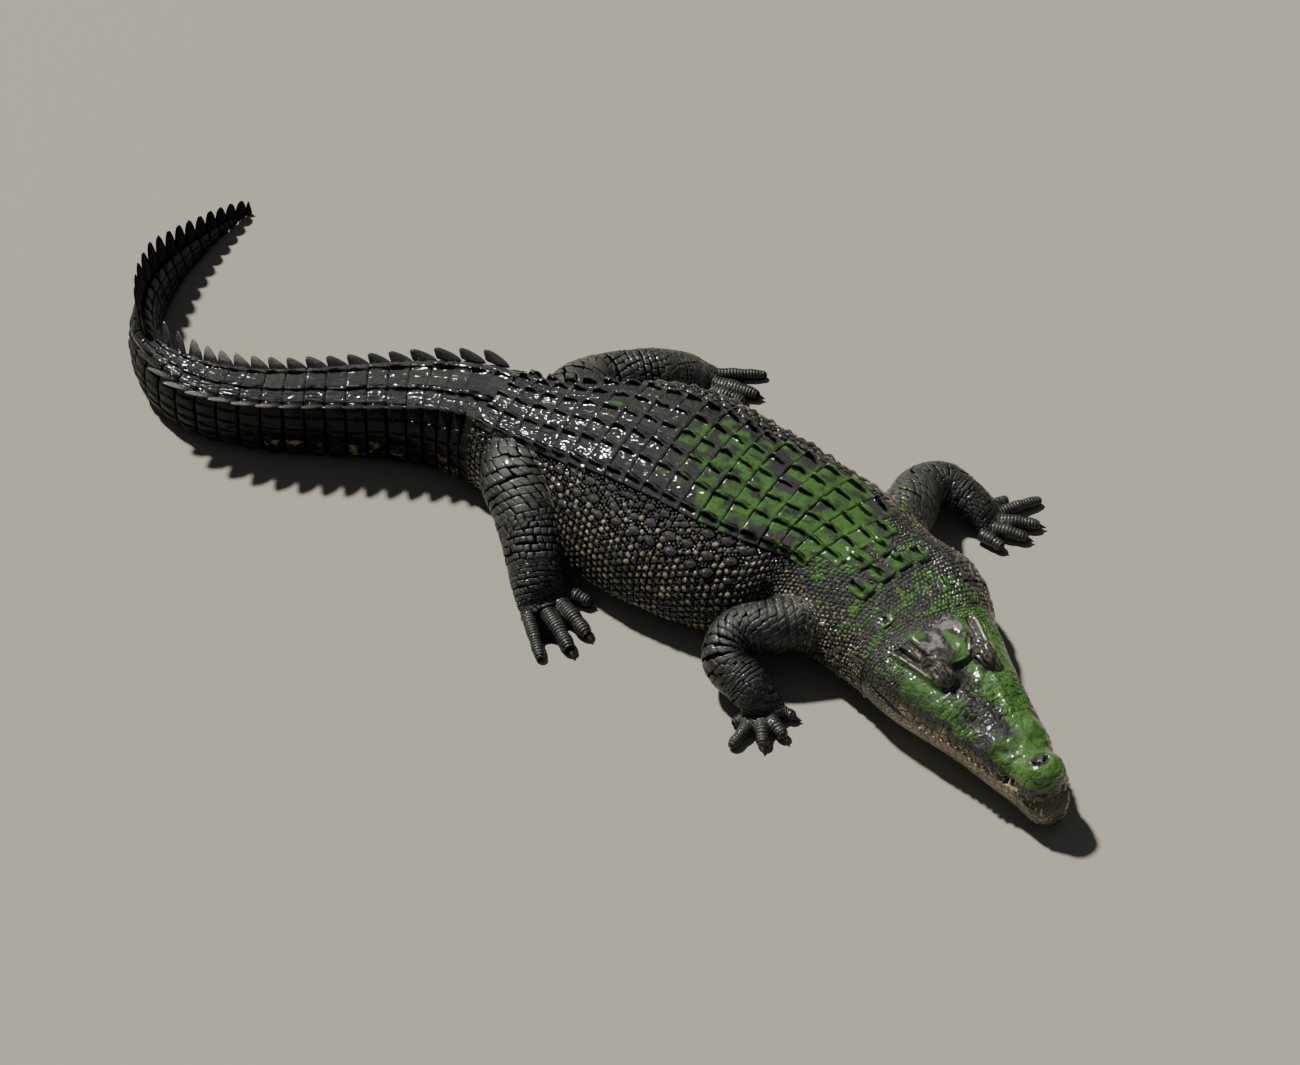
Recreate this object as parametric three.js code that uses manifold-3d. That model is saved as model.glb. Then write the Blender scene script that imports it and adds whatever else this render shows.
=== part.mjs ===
// A Siamese-type crocodile, 2.45 m long, lying on its belly with its head raised a little
// and its tail curved round, as a still life-size model.
// Millimetres, +Z up, floor at Z = 0, trunk along X with the head toward +X.

import * as THREE from 'three';
import Module from 'manifold-3d';
import { mergeVertices } from 'three/addons/utils/BufferGeometryUtils.js';

const wasm = await Module();
wasm.setup();

// ---------------------------------------------------------------------------------------
// Driving dimensions
// ---------------------------------------------------------------------------------------

const TOTAL_LENGTH = 2455;          // snout tip to tail tip, along the spine
const HEAD_END = 352;               // back of the head, from the snout tip
const NECK_END = 640;               // shoulders
const TRUNK_END = 1235;             // vent, where the tail starts
const GAP = 0.5;                    // clear gap between neighbouring solids
const BODY_SIDES = 16;              // points round the neck, trunk and tail
const BODY_STEP = 50;               // distance between body sections
const TAIL_TIP_STEP = 32;          // the same behind the bend of the tail

// Heading of the spine: degrees away from -X, at distances from the snout tip.
const SPINE_BENDS = [
  [0, -28.5], [370, -28.5], [440, -19], [570, -25], [690, -3], [800, -1], [1120, 1],
  [1240, -8], [1350, 12], [1450, 27], [1600, 28], [1740, 12], [1850, -14], [1930, -34],
  [2010, -56], [2100, -68], [2200, -80], [2300, -90], [2455, -97],
];
const SPINE_ANCHOR = { s: 900, x: 53, y: 12 };

// Body sections, each keyed by distance from the snout tip.
const BODY_HALF_WIDTH = [
  [340, 127], [400, 150], [450, 160], [500, 158], [570, 165], [660, 187], [780, 214],
  [900, 224], [1000, 209], [1060, 170], [1120, 134], [1220, 108], [1330, 94], [1450, 80], [1600, 65],
  [1760, 55], [1880, 45], [1980, 32], [2080, 22], [2200, 16], [2320, 11], [2420, 7], [2455, 4],
];
const BODY_TOP = [
  [340, 160], [400, 168], [480, 178], [580, 190], [680, 208], [800, 222], [920, 228],
  [1040, 220], [1140, 206], [1240, 192], [1340, 172], [1450, 156], [1600, 145], [1760, 137],
  [1880, 130], [1980, 118], [2100, 99], [2200, 77], [2300, 53], [2400, 30], [2455, 12],
];
const BODY_BOTTOM = [
  [340, 10], [400, 2], [500, -8], [700, -14], [1150, -14], [1300, -8], [1600, -4], [2455, -2],
];
// Height of the widest line, as a share of the way from the bottom to the top.
const BODY_WAIST = [[340, 0.42], [600, 0.32], [900, 0.3], [1200, 0.38], [1500, 0.46], [2455, 0.42]];
// How square the section is: 2 is an ellipse.
const BODY_SQUARENESS = [
  [340, 2.3], [600, 2.3], [1000, 2.5], [1250, 2.6], [1500, 2.9], [1850, 2.9], [2000, 2.4],
  [2455, 2],
];
const BELLY_SQUARENESS = [[340, 2.3], [700, 2.1], [1100, 2.1], [1500, 2.9], [2000, 2.4], [2455, 2]];
// Sideways sag of the body off its spine.
const BODY_SIDE = [
  [340, 8], [400, 26], [450, 36], [520, 28], [600, 16], [680, 2], [790, -3], [880, 4],
  [1000, 10], [1110, 6], [1230, 0], [1330, 0], [1500, 6], [1720, 6], [1860, 0],
];
// Lean of the tail blade: how far the top stands to the side, as a share of its height.
const BODY_LEAN = [[1850, 0], [2000, -0.1], [2150, -0.16], [2455, -0.12]];

// Tail crests: two rows of keels that meet in one tall row behind the bend.
const CREST_START = 1250;
const CREST_MERGE = 1934;
const CREST_END = 2450;
const WHORL_PITCH = [[CREST_START, 36], [CREST_MERGE, 36], [CREST_END, 26]];
const TAIL_CUTS = [5, 10, 14, 18, 22, 28];   // tail lengths part at the starts of these whorls
const CREST_HEIGHT = [[1934, 38], [2020, 50], [2120, 54], [2220, 44], [2320, 32], [2440, 16]];

// ---------------------------------------------------------------------------------------
// Small tools
// ---------------------------------------------------------------------------------------

// Smooth monotone interpolation through [position, value] keys.
function along(keys, t) {
  const last = keys.length - 1;
  if (t <= keys[0][0]) return keys[0][1];
  if (t >= keys[last][0]) return keys[last][1];
  let i = 0;
  while (t > keys[i + 1][0]) i += 1;
  const slope = (k) => (keys[k + 1][1] - keys[k][1]) / (keys[k + 1][0] - keys[k][0]);
  const tangent = (k) => {
    if (k === 0) return slope(0);
    if (k === last) return slope(last - 1);
    const before = slope(k - 1);
    const after = slope(k);
    return before * after <= 0 ? 0 : (2 * before * after) / (before + after);
  };
  const width = keys[i + 1][0] - keys[i][0];
  const x = (t - keys[i][0]) / width;
  const rise = keys[i + 1][1] - keys[i][1];
  const m0 = tangent(i) * width;
  const m1 = tangent(i + 1) * width;
  return keys[i][1] + x * (m0 + x * ((3 * rise - 2 * m0 - m1) + x * (m0 + m1 - 2 * rise)));
}

function steps(from, to, step) {
  const count = Math.max(1, Math.round((to - from) / step));
  return Array.from({ length: count + 1 }, (_, i) => from + ((to - from) * i) / count);
}

// The spine as a walk in small steps, so that every station has a place and a heading.
const SPINE_STEP = 5;
const spine = [];
for (let s = 0, x = 0, y = 0; s <= TOTAL_LENGTH; s += SPINE_STEP) {
  const bend = THREE.MathUtils.degToRad(along(SPINE_BENDS, s));
  spine.push({ x, y, bend });
  x -= SPINE_STEP * Math.cos(bend);
  y -= SPINE_STEP * Math.sin(bend);
}
const anchor = spine[SPINE_ANCHOR.s / SPINE_STEP];
const shiftX = SPINE_ANCHOR.x - anchor.x;
const shiftY = SPINE_ANCHOR.y - anchor.y;

// Ahead of the snout tip the spine runs straight on.
function station(s) {
  const f = THREE.MathUtils.clamp(s / SPINE_STEP, 0, spine.length - 1.001);
  const a = spine[Math.floor(f)];
  const b = spine[Math.floor(f) + 1];
  const t = f - Math.floor(f);
  const bend = THREE.MathUtils.degToRad(along(SPINE_BENDS, s));
  const forward = new THREE.Vector3(Math.cos(bend), Math.sin(bend), 0);
  const left = new THREE.Vector3(-Math.sin(bend), Math.cos(bend), 0);
  const point = new THREE.Vector3(
    THREE.MathUtils.lerp(a.x, b.x, t) + shiftX,
    THREE.MathUtils.lerp(a.y, b.y, t) + shiftY,
    0,
  ).addScaledVector(forward, Math.max(-s, 0));
  return { point, forward, left };
}

// A point given by distance from the snout tip, distance to the left, and height.
function place(s, left, height) {
  const at = station(s);
  return at.point.clone().addScaledVector(at.left, left).setZ(height);
}

// A closed body through rings with equal numbers of points, capped flat at both ends.
// The rings turn anticlockwise as seen from the first ring looking back along the row.
function loft(rings) {
  const sides = rings[0].length;
  const points = rings.flat();
  const centre = (ring) => ring.reduce((sum, p) => sum.add(p), new THREE.Vector3()).divideScalar(sides);
  points.push(centre(rings[0]), centre(rings[rings.length - 1]));
  const index = [];
  for (let r = 0; r + 1 < rings.length; r += 1) {
    for (let i = 0; i < sides; i += 1) {
      const j = (i + 1) % sides;
      const a = r * sides + i;
      const b = r * sides + j;
      index.push(a, b, a + sides, b, b + sides, a + sides);
    }
  }
  const first = points.length - 2;
  const last = points.length - 1;
  const lastRing = (rings.length - 1) * sides;
  for (let i = 0; i < sides; i += 1) {
    const j = (i + 1) % sides;
    index.push(first, j, i);
    index.push(last, lastRing + i, lastRing + j);
  }
  return solidFrom(points, index);
}

function solidFrom(points, index) {
  const vertProperties = new Float32Array(points.flatMap((p) => [p.x, p.y, p.z]));
  const solid = new wasm.Manifold(
    new wasm.Mesh({ numProp: 3, vertProperties, triVerts: new Uint32Array(index) }),
  );
  if (solid.volume() > 0) return solid;
  const flipped = index.slice();
  for (let i = 0; i < flipped.length; i += 3) [flipped[i], flipped[i + 1]] = [flipped[i + 1], flipped[i]];
  return new wasm.Manifold(
    new wasm.Mesh({ numProp: 3, vertProperties, triVerts: new Uint32Array(flipped) }),
  );
}

// A three.js geometry, moved by a matrix, as a solid.
function solidOf(geometry, matrix) {
  const plain = geometry.clone();
  plain.deleteAttribute('normal');
  plain.deleteAttribute('uv');
  const merged = mergeVertices(plain, 1e-4);
  if (matrix) merged.applyMatrix4(matrix);
  return new wasm.Manifold(new wasm.Mesh({
    numProp: 3,
    vertProperties: new Float32Array(merged.getAttribute('position').array),
    triVerts: new Uint32Array(merged.index.array),
  }));
}

function joined(solids) {
  return solids.reduce((sum, solid) => sum.add(solid));
}

// An ellipsoid set in the body: its long axis follows the spine at that station.
function ellipsoid(s, left, height, radii, segments = [12, 8]) {
  const at = station(s);
  const axes = new THREE.Matrix4().makeBasis(at.forward, at.left, new THREE.Vector3(0, 0, 1));
  const matrix = new THREE.Matrix4()
    .setPosition(place(s, left, height))
    .multiply(axes)
    .multiply(new THREE.Matrix4().makeScale(...radii));
  return solidOf(new THREE.SphereGeometry(1, ...segments), matrix);
}

// Everything on the far side of a plane, as a very large box.
const FAR = 4000;
function halfSpace(point, normal) {
  const turn = new THREE.Quaternion().setFromUnitVectors(
    new THREE.Vector3(0, 0, 1), normal.clone().normalize(),
  );
  const matrix = new THREE.Matrix4().compose(
    point.clone().addScaledVector(normal.clone().normalize(), FAR / 2), turn, new THREE.Vector3(1, 1, 1),
  );
  return solidOf(new THREE.BoxGeometry(FAR, FAR, FAR), matrix);
}

const aboveFloor = halfSpace(new THREE.Vector3(0, 0, 0), new THREE.Vector3(0, 0, 1));

// ---------------------------------------------------------------------------------------
// Neck, trunk and tail
// ---------------------------------------------------------------------------------------

// One section: a rounded box with its widest line at the waist.
function bodyRing(s, grow = 0) {
  const half = along(BODY_HALF_WIDTH, s) + grow;
  const top = along(BODY_TOP, s) + grow;
  const bottom = along(BODY_BOTTOM, s) - grow;
  const waist = bottom + (top - bottom) * along(BODY_WAIST, s);
  const side = along(BODY_SIDE, s);
  return Array.from({ length: BODY_SIDES }, (_, i) => {
    const angle = (2 * Math.PI * (i + 0.5)) / BODY_SIDES;
    const power = 2 / along(Math.sin(angle) > 0 ? BODY_SQUARENESS : BELLY_SQUARENESS, s);
    const across = Math.sign(Math.cos(angle)) * Math.abs(Math.cos(angle)) ** power;
    const up = Math.sign(Math.sin(angle)) * Math.abs(Math.sin(angle)) ** power;
    const height = waist + up * (up > 0 ? top - waist : waist - bottom);
    return place(s, side + across * half + along(BODY_LEAN, s) * height, height);
  });
}

function bodyLength(from, to, step = BODY_STEP, grow = 0) {
  return loft(steps(from, to, step).map((s) => bodyRing(s, grow))).intersect(aboveFloor);
}

// The whorls of the tail, each from one start to the next.
const whorlStarts = [CREST_START];
while (whorlStarts.at(-1) < CREST_END - WHORL_PITCH.at(-1)[1]) {
  whorlStarts.push(whorlStarts.at(-1) + along(WHORL_PITCH, whorlStarts.at(-1)));
}

// A keeled scute on the tail: wide foot, blunt tip set toward the rear and to the side. Its
// length, its sweep and its place are shares of its whorl's length.
const DOUBLE_SCUTE = { long: 0.92, thick: 12, sweep: 0.44, tip: 0.22 };
const SINGLE_SCUTE = { long: 0.94, thick: 9, sweep: 0.14, tip: 0.34 };
const CREST_STANCES = [              // the tail rolls a little, so the right crest lies flatter
  { sign: 1, rise: 0.55, spread: 0.4 },
  { sign: -1, rise: 0.42, spread: 1.0 },
];
const SCUTE_MIDDLE = 0.48;
const SCUTE_ROOT = 8;               // how far a scute starts inside the tail

function scute(start, left, foot, tall, lean, { long, thick, sweep, tip }) {
  const pitch = along(WHORL_PITCH, start);
  const s = start + SCUTE_MIDDLE * pitch;
  const ring = (back, length, width, side, height) => {
    const middle = side + along(BODY_LEAN, s) * height;
    const at = s + back * pitch;
    const reach = (length * pitch) / 2;
    return [
      place(at - reach, middle - width / 2, height),
      place(at + reach, middle - width / 2, height),
      place(at + reach, middle + width / 2, height),
      place(at - reach, middle + width / 2, height),
    ];
  };
  return loft([
    ring(0, long, thick, left, foot - SCUTE_ROOT),
    ring(sweep * 0.45, long * 0.8, thick * 0.75, left + lean * 0.5, foot + tall * 0.55),
    ring(sweep, long * tip, thick * 0.4, left + lean, foot + tall),
  ]);
}

// The starts of the whorls between two stations.
function whorlsIn(from, to) {
  return whorlStarts.filter((start) => start > from - GAP && start < to - GAP);
}

// Scutes lean far out where the crest is double and rise upright where its rows meet. The
// first whorl, beside the hips, has none.
function doubleCrest(from, to) {
  return whorlsIn(Math.max(from, whorlStarts[1]), to).flatMap((start) => {
    const grown = THREE.MathUtils.smoothstep(start, CREST_START, CREST_MERGE - 80);
    const merging = THREE.MathUtils.smoothstep(start, CREST_MERGE - 150, CREST_MERGE);
    const side = along(BODY_HALF_WIDTH, start) * THREE.MathUtils.lerp(0.7, 0.36, merging);
    const foot = along(BODY_TOP, start) - THREE.MathUtils.lerp(10, 7, grown);
    const size = THREE.MathUtils.lerp(14, 29, grown) + 9 * merging;
    return CREST_STANCES.map(({ sign, rise, spread }) => {
      const tall = size * THREE.MathUtils.lerp(rise, 0.95, merging);
      const lean = size * THREE.MathUtils.lerp(spread, 0.3, merging);
      return scute(start, sign * side, foot, tall, sign * lean, DOUBLE_SCUTE);
    });
  });
}

function singleCrest(from, to) {
  return whorlsIn(Math.max(from, CREST_MERGE), Math.min(to, CREST_END)).map((start) => (
    scute(start, 0, along(BODY_TOP, start) - 6, along(CREST_HEIGHT, start), 0, SINGLE_SCUTE)
  ));
}

const tailStations = [TRUNK_END, ...TAIL_CUTS.map((k) => whorlStarts[k]), TOTAL_LENGTH];
const tailLengths = tailStations.slice(1).map((to, i) => {
  const from = tailStations[i] + GAP / 2;
  const end = to === TOTAL_LENGTH ? to : to - GAP / 2;
  const step = to > CREST_MERGE ? TAIL_TIP_STEP : BODY_STEP;
  const crest = from < CREST_MERGE ? doubleCrest(from, Math.min(end, CREST_MERGE)) : [];
  return joined([bodyLength(from, end, step), ...crest, ...singleCrest(from, end)]);
});

// ---------------------------------------------------------------------------------------
// Head: upper head and lower jaw, either side of the mouth line
// ---------------------------------------------------------------------------------------

const HEAD_SIDES = 10;              // points over the top, and again under the jaw
const UPPER_HALF_WIDTH = [
  [0, 12], [8, 28], [24, 41], [42, 43], [60, 40], [84, 53], [112, 65], [140, 70], [175, 79],
  [215, 91], [255, 102], [300, 114], [352, 122],
];
const LIP_HEIGHT = [
  [0, 79], [20, 75], [60, 86], [110, 80], [160, 86], [220, 78], [270, 84], [300, 94], [352, 102],
];
const UPPER_TOP = [
  [0, 100], [8, 118], [24, 128], [44, 130], [66, 122], [110, 128], [160, 138], [200, 146],
  [240, 152], [300, 160], [352, 164],
];
const UPPER_SQUARENESS = [[0, 2.2], [40, 2.9], [150, 2.5], [240, 2.6], [352, 2.6]];
const JAW_HALF_WIDTH = [
  [-14, 14], [-4, 28], [14, 40], [60, 49], [110, 61], [160, 73], [215, 86], [260, 101], [300, 115],
  [352, 126],
];
const JAW_TOP = [
  [-14, 58], [20, 66], [60, 79], [110, 77], [160, 83], [220, 77], [270, 83], [300, 93], [352, 101],
];
const JAW_BOTTOM = [[-14, 26], [-2, 13], [20, 8], [80, 12], [160, 13], [240, 8], [300, 4], [352, 3]];

function upperHeadRing(u) {
  const half = along(UPPER_HALF_WIDTH, u);
  const lip = along(LIP_HEIGHT, u);
  const top = along(UPPER_TOP, u);
  const power = 2 / along(UPPER_SQUARENESS, u);
  const over = Array.from({ length: HEAD_SIDES + 1 }, (_, i) => {
    const angle = (Math.PI * i) / HEAD_SIDES;
    const across = Math.sign(Math.cos(angle)) * Math.abs(Math.cos(angle)) ** power;
    return place(u, across * half, lip + (top - lip) * Math.sin(angle) ** power);
  });
  const palate = [-0.6, 0, 0.6].map((share) => place(u, share * half, lip + 1));
  return [...over, ...palate];
}

function jawRing(u) {
  const half = along(JAW_HALF_WIDTH, u);
  const edge = Math.min(along(JAW_TOP, u), along(LIP_HEIGHT, u) - GAP);
  const bottom = along(JAW_BOTTOM, u);
  const under = Array.from({ length: HEAD_SIDES + 1 }, (_, i) => {
    const angle = (Math.PI * i) / HEAD_SIDES;
    const across = Math.sign(Math.cos(angle)) * Math.abs(Math.cos(angle)) ** 0.8;
    return place(u, across * half, edge - (edge - bottom) * Math.sin(angle) ** 0.8);
  });
  const floorOfMouth = [-0.6, 0, 0.6].map((share) => place(u, share * half, edge - 1));
  return [...under, ...floorOfMouth];
}

const headStations = [0, 4, 12, 26, 42, 58, 76, 100, 125, 155, 190, 225, 260, 300, HEAD_END - GAP / 2];
const EYE = { s: 264, left: 49, height: 156, radius: 13 };
const EYE_SEGMENTS = [8, 6];
const LID = { s: 262, left: 40, height: 152, radii: [36, 20, 22] };
const NASAL_DISC = { s: 32, height: 120, radii: [30, 33, 16] };

function eyeBall(sign, radius) {
  return ellipsoid(EYE.s, sign * EYE.left, EYE.height, [radius, radius, radius], EYE_SEGMENTS);
}

const eyeballs = [1, -1].map((sign) => eyeBall(sign, EYE.radius));
const sockets = [1, -1].map((sign) => eyeBall(sign, EYE.radius + GAP));
const lids = [1, -1].map((sign) => ellipsoid(LID.s, sign * LID.left, LID.height, LID.radii));
const nasalDisc = ellipsoid(NASAL_DISC.s, 0, NASAL_DISC.height, NASAL_DISC.radii);
const SKULL_TABLE = [[268, 38, 157, 165], [284, 44, 158, 171], [305, 49, 158, 174], [348, 55, 158, 174]];
const skullTable = loft(SKULL_TABLE.map(([u, half, low, high]) => [
  place(u, half, low), place(u, half, high - 4), place(u, half - 9, high), place(u, 9 - half, high),
  place(u, -half, high - 4), place(u, -half, low),
]));

const skull = joined([loft(headStations.map(upperHeadRing)), ...lids, nasalDisc, skullTable]);
const upperHead = sockets.reduce((solid, socket) => solid.subtract(socket), skull);
const lowerJaw = loft([-14, -9, -2, ...headStations.slice(1)].map(jawRing)).intersect(aboveFloor);

// ---------------------------------------------------------------------------------------
// Legs
// ---------------------------------------------------------------------------------------

const LIMB_SIDES = 9;
const DIGIT_SIDES = 6;

// Each leg as a chain of centres [x, y, z, half width, half thickness], the places of its two
// joints in the chain, and its digits from the inner one outward, as [x, y] of the root,
// [x, y] of the tip and a share of full thickness. Each web stands between a digit and the
// next, and reaches a share of the way to their tips.
const LEGS = {
  fore_right: {
    names: ['upper_arm', 'forearm', 'hand'],
    chain: [
      [388, -110, 86, 54, 52], [328, -168, 88, 47, 48], [278, -212, 82, 42, 46],
      [284, -256, 66, 41, 43], [333, -273, 47, 40, 36], [360, -281, 32, 38, 26],
      [371, -289, 20, 40, 17], [378, -298, 13, 37, 12],
    ],
    joints: [2.35, 5],
    digits: [
      [388, -271, 433, -265, 0.8], [391, -297, 437, -321, 0.85], [382, -314, 410, -360, 0.85],
      [363, -321, 358, -377, 0.75], [348, -312, 336, -330, 0.72],
    ],
    webs: [],
  },
  fore_left: {
    names: ['upper_arm', 'forearm', 'hand'],
    chain: [
      [396, 110, 92, 56, 56], [398, 188, 84, 50, 50], [386, 256, 67, 43, 43],
      [408, 296, 54, 44, 42], [448, 300, 42, 40, 34], [482, 298, 30, 36, 25],
      [498, 300, 19, 42, 17], [511, 303, 13, 38, 12],
    ],
    joints: [2.35, 5],
    digits: [
      [516, 257, 562, 249, 0.8], [523, 283, 589, 295, 0.85], [521, 306, 593, 336, 0.85],
      [512, 328, 556, 391, 0.75], [495, 342, 505, 364, 0.72],
    ],
    webs: [],
  },
  hind_right: {
    names: ['thigh', 'shank', 'foot'],
    chain: [
      [-215, -35, 120, 70, 60], [-202, -95, 121, 68, 55], [-162, -138, 104, 62, 52],
      [-134, -170, 82, 56, 48], [-109, -202, 59, 51, 44], [-86, -230, 38, 49, 32],
      [-68, -242, 22, 52, 19], [-52, -252, 14, 49, 12],
    ],
    joints: [2.8, 5],
    digits: [
      [-40, -205, 13, -204, 0.9], [-31, -240, 43, -277, 1], [-44, -268, 35, -324, 1],
      [-73, -288, -10, -356, 0.78],
    ],
    webs: [[1, 0.5], [2, 0.72]],
  },
  hind_left: {
    names: ['thigh', 'shank', 'foot'],
    chain: [
      [-195, 60, 120, 70, 60], [-214, 128, 118, 62, 56], [-224, 198, 86, 52, 50],
      [-190, 254, 73, 49, 47], [-148, 306, 59, 47, 43], [-113, 349, 39, 43, 32],
      [-92, 362, 22, 45, 18], [-76, 367, 14, 42, 12],
    ],
    joints: [2.8, 5],
    digits: [
      [-54, 337, -22, 338, 0.8], [-58, 353, 6, 358, 0.9], [-70, 373, 20, 387, 0.9],
      [-90, 393, -6, 442, 0.72],
    ],
    webs: [[1, 0.5], [2, 0.72]],
  },
};
const DIGIT_RADII = [14, 13, 12, 9.5];
const ROOT_DEPTH = 14;              // how far a digit starts inside the palm
const CLAWED_DIGITS = 3;
const CLAW = { length: 11, radius: 4.5 };
const CLAW_SIDES = 6;
const CLAW_SHAPE = [[0, 1, 0], [0.5, 0.8, 0.8], [1, 0.35, 3]];   // along, size, drop
const WEB_THICKNESS = 3;
const WEB_HEIGHT = 2;
const WEB_OVERLAP = 3;              // how far a web runs into the digits beside it
const SEGMENT_RINGS = 6;

const UP = new THREE.Vector3(0, 0, 1);

// An oval ring square to a direction, wide across and thick upward.
function ovalRing(centre, direction, half, thick, sides) {
  const across = new THREE.Vector3().crossVectors(UP, direction).normalize();
  const rise = new THREE.Vector3().crossVectors(direction, across);
  return Array.from({ length: sides }, (_, i) => {
    const angle = (2 * Math.PI * (i + 0.5)) / sides;
    return centre.clone()
      .addScaledVector(across, half * Math.cos(angle))
      .addScaledVector(rise, thick * Math.sin(angle));
  });
}

// The part of a limb between two places in its chain, or that part grown all round and
// past its far end, to cut its gap from the next one.
function limbSegment(chain, from, to, grow = 0) {
  const curve = new THREE.CatmullRomCurve3(chain.map(([x, y, z]) => new THREE.Vector3(x, y, z)));
  const size = (column) => chain.map((row, i) => [i, row[column]]);
  const count = chain.length - 1;
  const rings = Array.from({ length: SEGMENT_RINGS + 1 }, (_, i) => {
    const at = from + ((to - from) * i) / SEGMENT_RINGS;
    return ovalRing(
      curve.getPoint(at / count), curve.getTangent(at / count),
      along(size(3), at) + grow, along(size(4), at) + grow, LIMB_SIDES,
    );
  });
  if (grow) {
    const past = curve.getTangent(to / count).multiplyScalar(grow);
    rings.push(rings[SEGMENT_RINGS].map((p) => p.clone().add(past)));
  }
  return loft(rings);
}

// A digit's centre line from its root in the palm, arched over the knuckle; a clawed one
// stops short of the tip by the length of its claw.
const ARCH = [[0, 14], [0.4, 16], [0.72, 13], [1, 9]];

function digitPath([rootX, rootY, tipX, tipY, size], clawed) {
  const root = new THREE.Vector3(rootX, rootY, 0);
  const tip = new THREE.Vector3(tipX, tipY, 0);
  const direction = tip.clone().sub(root).normalize();
  root.addScaledVector(direction, -ROOT_DEPTH);
  if (clawed) tip.addScaledVector(direction, -CLAW.length);
  const points = ARCH.map(([t, height]) => root.clone().lerp(tip, t).setZ(height * size));
  const radii = DIGIT_RADII.map((radius) => radius * size);
  return { points, radii, direction };
}

function digit(ends, clawed) {
  const { points, radii, direction } = digitPath(ends, clawed);
  return loft(points.map((p, i) => ovalRing(p, direction, radii[i], radii[i], DIGIT_SIDES)));
}

function claw(ends) {
  const { points, direction } = digitPath(ends, true);
  const rings = CLAW_SHAPE.map(([t, size, drop]) => ovalRing(
    points[3].clone().addScaledVector(direction, GAP + t * CLAW.length).sub(UP.clone().multiplyScalar(drop)),
    direction, CLAW.radius * size, CLAW.radius * size, CLAW_SIDES,
  ));
  return loft(rings);
}

// Skin stretched between two neighbouring digits, with a hollow edge.
function web(endsA, endsB, reach) {
  const [rootA, rootB] = [endsA, endsB].map(([x, y]) => new THREE.Vector2(x, y));
  const [endA, endB] = [endsA, endsB].map((ends) => new THREE.Vector2(ends[2], ends[3]));
  const tipA = rootA.clone().lerp(endA, reach);
  const tipB = rootB.clone().lerp(endB, reach);
  rootA.sub(endA.sub(rootA).setLength(ROOT_DEPTH));
  rootB.sub(endB.sub(rootB).setLength(ROOT_DEPTH));
  const into = rootA.clone().sub(rootB).setLength(WEB_OVERLAP);
  [rootA, tipA].forEach((point) => point.add(into));
  [rootB, tipB].forEach((point) => point.sub(into));
  const hollow = tipA.clone().add(tipB).add(rootA).add(rootB).multiplyScalar(0.25);
  const shape = new THREE.Shape();
  shape.moveTo(rootA.x, rootA.y);
  shape.lineTo(tipA.x, tipA.y);
  shape.quadraticCurveTo(hollow.x, hollow.y, tipB.x, tipB.y);
  shape.lineTo(rootB.x, rootB.y);
  shape.closePath();
  const raised = new THREE.Matrix4().makeTranslation(0, 0, WEB_HEIGHT);
  return solidOf(new THREE.ExtrudeGeometry(shape, {
    depth: WEB_THICKNESS, bevelEnabled: false, curveSegments: 3,
  }), raised);
}

// The body grown by the gap, on the same sections as its solids, to cut the limbs from.
function skinOver(from, to) {
  const inner = steps(from, to, BODY_STEP);
  return loft([from - 1, ...inner, to + 1].map((s) => bodyRing(s, GAP)));
}

const bodySkin = joined([
  skinOver(HEAD_END + GAP / 2, NECK_END - GAP / 2),
  skinOver(NECK_END + GAP / 2, TRUNK_END - GAP / 2),
  skinOver(TRUNK_END + GAP / 2, tailStations[1] - GAP / 2),
]);

// The main piece of a solid, without the slivers a cut may leave beside it.
function mainPiece(solid) {
  return solid.decompose().reduce((best, piece) => (piece.volume() > best.volume() ? piece : best));
}

function buildLeg({ chain, joints, digits, webs }) {
  const [elbow, wrist] = joints;
  const upper = limbSegment(chain, 0, elbow).subtract(bodySkin);
  const lower = limbSegment(chain, elbow, wrist)
    .subtract(limbSegment(chain, 0, elbow, GAP))
    .subtract(bodySkin);
  const toes = digits.map((ends, i) => digit(ends, i < CLAWED_DIGITS));
  const skins = webs.map(([i, reach]) => web(digits[i], digits[i + 1], reach));
  const claws = digits.slice(0, CLAWED_DIGITS).map(claw);
  const foot = joined([limbSegment(chain, wrist, chain.length - 1), ...toes, ...skins])
    .subtract(limbSegment(chain, elbow, wrist, GAP))
    .subtract(bodySkin);
  return {
    segments: [upper, lower, foot].map((solid) => mainPiece(solid.intersect(aboveFloor))),
    claws: claws.map((solid) => solid.intersect(aboveFloor)),
  };
}

// ---------------------------------------------------------------------------------------
// Assembly
// ---------------------------------------------------------------------------------------

const group = new THREE.Group();

function addPart(name, solid, color, roughness) {
  const mesh = solid.getMesh();
  const geometry = new THREE.BufferGeometry();
  geometry.setAttribute('position', new THREE.BufferAttribute(new Float32Array(mesh.vertProperties), 3));
  geometry.setIndex(new THREE.BufferAttribute(new Uint32Array(mesh.triVerts), 1));
  geometry.computeVertexNormals();
  const material = new THREE.MeshStandardMaterial({ color, roughness, metalness: 0 });
  const part = new THREE.Mesh(geometry, material);
  part.name = name;
  group.add(part);
}

const HIDE = [0x34352f, 0.45];
const GREEN_HIDE = [0x3f6b2c, 0.4];
const CLAW_HORN = [0x3b352c, 0.35];

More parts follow.
